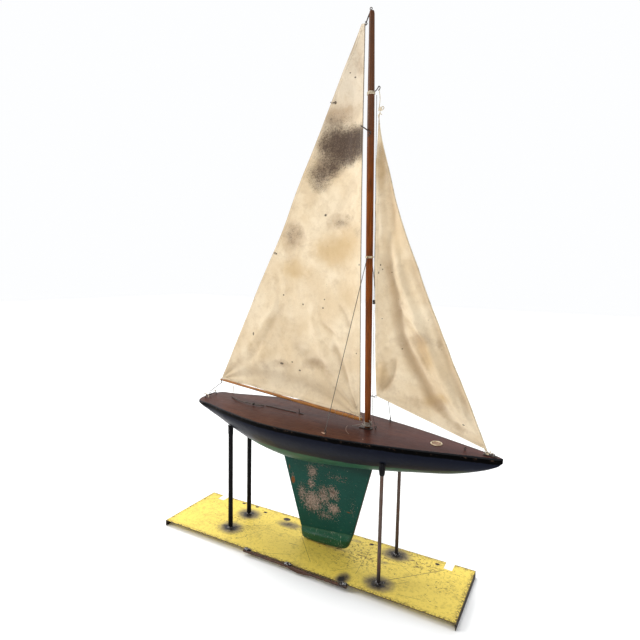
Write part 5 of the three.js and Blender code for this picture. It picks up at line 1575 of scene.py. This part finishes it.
def build_sheets():
    crossing("main_sheet_line", [([(-466.2, -1.7, 8.4), (-461.5, 14, 16.5), (-452.5, 30, 27.6)], 1.0)], YACHT,
             DARK_CORD, "main_sheet")
    crossing("boom_guy_line", [([(-428, 46.5, sheer(-428) + 1.0), (-420, 39, 13), (-409, 28.6, 27)], 0.75)], YACHT,
             CORD, "boom_guy")
    head = Vector((-27.4, 1.4, 838.5))
    crossing("head_tie_line", [([(-17, 0, 859.6), (-19.5, 0.6, 853), (-24, 1.0, 845.5), tuple(head)], 0.95),
                               ([(-17, 0, 860), (-21.8, -0.6, 850), (-26, 0.4, 842), (-29, 1.6, 834)], 0.8),
                               ([(-26, 3, 842), (-29.6, 1.6, 840.5), (-28, -0.8, 838), (-25, 1.2, 836.6),
                                 (-28.4, 3.2, 835), (-30.2, 1.2, 834)], 0.8)], YACHT,
             DARK_CORD, None)
    stern = Form()
    stern.add(knot((-466, -17.2, 4.0), 2.4, 0.9, 21))
    stern.add(knot((-466.5, 17.0, 4.2), 2.1, 0.85, 22))
    stern.add(rope([(-466, -17.2, 4.2), (-461, -19.5, 5.6), (-457.6, -18, 1.8), (-455, -21, -2.0)], 0.85, fray=0.12))
    stern.add(rope([(-466, -17.2, 4.2), (-469.5, -19, 6.0), (-472, -22.6, 3.4)], 0.85, fray=0.12, seed=3))
    stern.add(rope([(-466.5, 17.0, 4.2), (-462, 18.6, 7.2), (-463, 21.6, 9.6)], 0.8, fray=0.12, seed=5))
    make("stern_horse_lashing", stern, YACHT, CORD, "yacht", None)


def plug_wood():
    p = Paint("plug_wood", rough=0.5)
    at = p.place()
    grain = p.noise(at, 330, 6, 0.7)
    p.set("Base Color", p.mix(grain, (0.14, 0.065, 0.03), (0.30, 0.17, 0.09)))
    p.bump(grain, 0.0004, 0.6)
    return p.material


def bead_paint(name, dark, light, metal):
    p = Paint(name, metal=metal)
    at = p.place()
    grain = p.noise(at, 480, 5, 0.7)
    p.set("Base Color", p.mix(grain, dark, light))
    p.set("Roughness", p.math("ADD", 0.28, p.math("MULTIPLY", grain, 0.35)))
    p.bump(grain, 0.0002, 0.5)
    return p.material


PLUG_WOOD = plug_wood()
BEAD_BLACK = bead_paint("bead_black", (0.006, 0.006, 0.006), (0.03, 0.028, 0.026), 0.0)
BEAD_IRON = bead_paint("bead_iron", (0.020, 0.016, 0.014), (0.070, 0.058, 0.050), 0.4)
LUFF_CORD = cordage("luff_cord", (0.16, 0.13, 0.10), (0.30, 0.25, 0.20))

build_plate()
for index, (post_name, post) in enumerate(POSTS.items()):
    build_post(post_name, *post, index)
build_edge_bar()
build_hull()
build_deck()
build_keel()
build_deck_fittings()
build_mast()
build_rigging()
build_mainsail()
build_jib()
build_boom()
build_sheets()

# pieces inside the hull keep their CAD shape
for cad_name, cad_material in (("mast_step_block", PINE), ("deck_beam_aft", PINE), ("deck_beam_fore", PINE),
                               ("keel_screw_aft", IRON), ("keel_screw_fore", IRON)):
    NODES[cad_name].data.materials.clear()
    NODES[cad_name].data.materials.append(cad_material)


# ---------- floor and light ----------
def build_stage():
    size = 9.0
    mesh = bpy.data.meshes.new("floor")
    mesh.from_pydata([(-size, -size, 0), (size, -size, 0), (size, size, 0), (-size, size, 0)], [], [(0, 1, 2, 3)])
    mesh.materials.append(floor_paint())
    floor = bpy.data.objects.new("floor", mesh)
    bpy.context.collection.objects.link(floor)

    world = bpy.data.worlds.new("studio")
    world.use_nodes = True
    tree = world.node_tree
    direction = tree.nodes.new("ShaderNodeTexCoord").outputs["Generated"]
    behind = tree.nodes.new("ShaderNodeVectorMath")
    behind.operation = "DOT_PRODUCT"
    behind.inputs[1].default_value = (-0.475, 0.874, 0.10)
    tree.links.new(direction, behind.inputs[0])
    level = tree.nodes.new("ShaderNodeMapRange")
    level.interpolation_type = "SMOOTHSTEP"
    for key, value in (("From Min", -0.55), ("From Max", 0.55), ("To Min", 0.28), ("To Max", 1.0)):
        level.inputs[key].default_value = value
    tree.links.new(behind.outputs["Value"], level.inputs["Value"])
    tree.links.new(level.outputs["Result"], tree.nodes["Background"].inputs["Strength"])
    tree.nodes["Background"].inputs["Color"].default_value = (0.985, 0.992, 1.0, 1)
    bpy.context.scene.world = world
    lights = (("key", (-0.8, 0.45, 3.0), 0, 2.3, (1.0, 0.99, 0.97)),
              ("fill", (-2.6, -1.5, 2.2), 1.2, 62, (1.0, 0.985, 0.96)),
              ("side", (1.6, -2.4, 1.8), 1.4, 16, (0.97, 0.985, 1.0)))
    for name, place, width, power, color in lights:
        data = bpy.data.lights.new(name, "AREA" if width else "SUN")
        if width:
            data.shape = "DISK"
            data.size = width
        else:
            data.angle = math.radians(38)
        data.energy = power
        data.color = color
        lamp = bpy.data.objects.new(name, data)
        bpy.context.collection.objects.link(lamp)
        lamp.location = place
        lamp.rotation_mode = "QUATERNION"
        lamp.rotation_quaternion = (Vector((0, 0, 0.5)) - Vector(place)).to_track_quat("-Z", "Y")


build_stage()
bpy.context.scene.view_settings.view_transform = "Standard"
bpy.context.scene.view_settings.look = "None"
bpy.context.scene.view_settings.exposure = 0.0
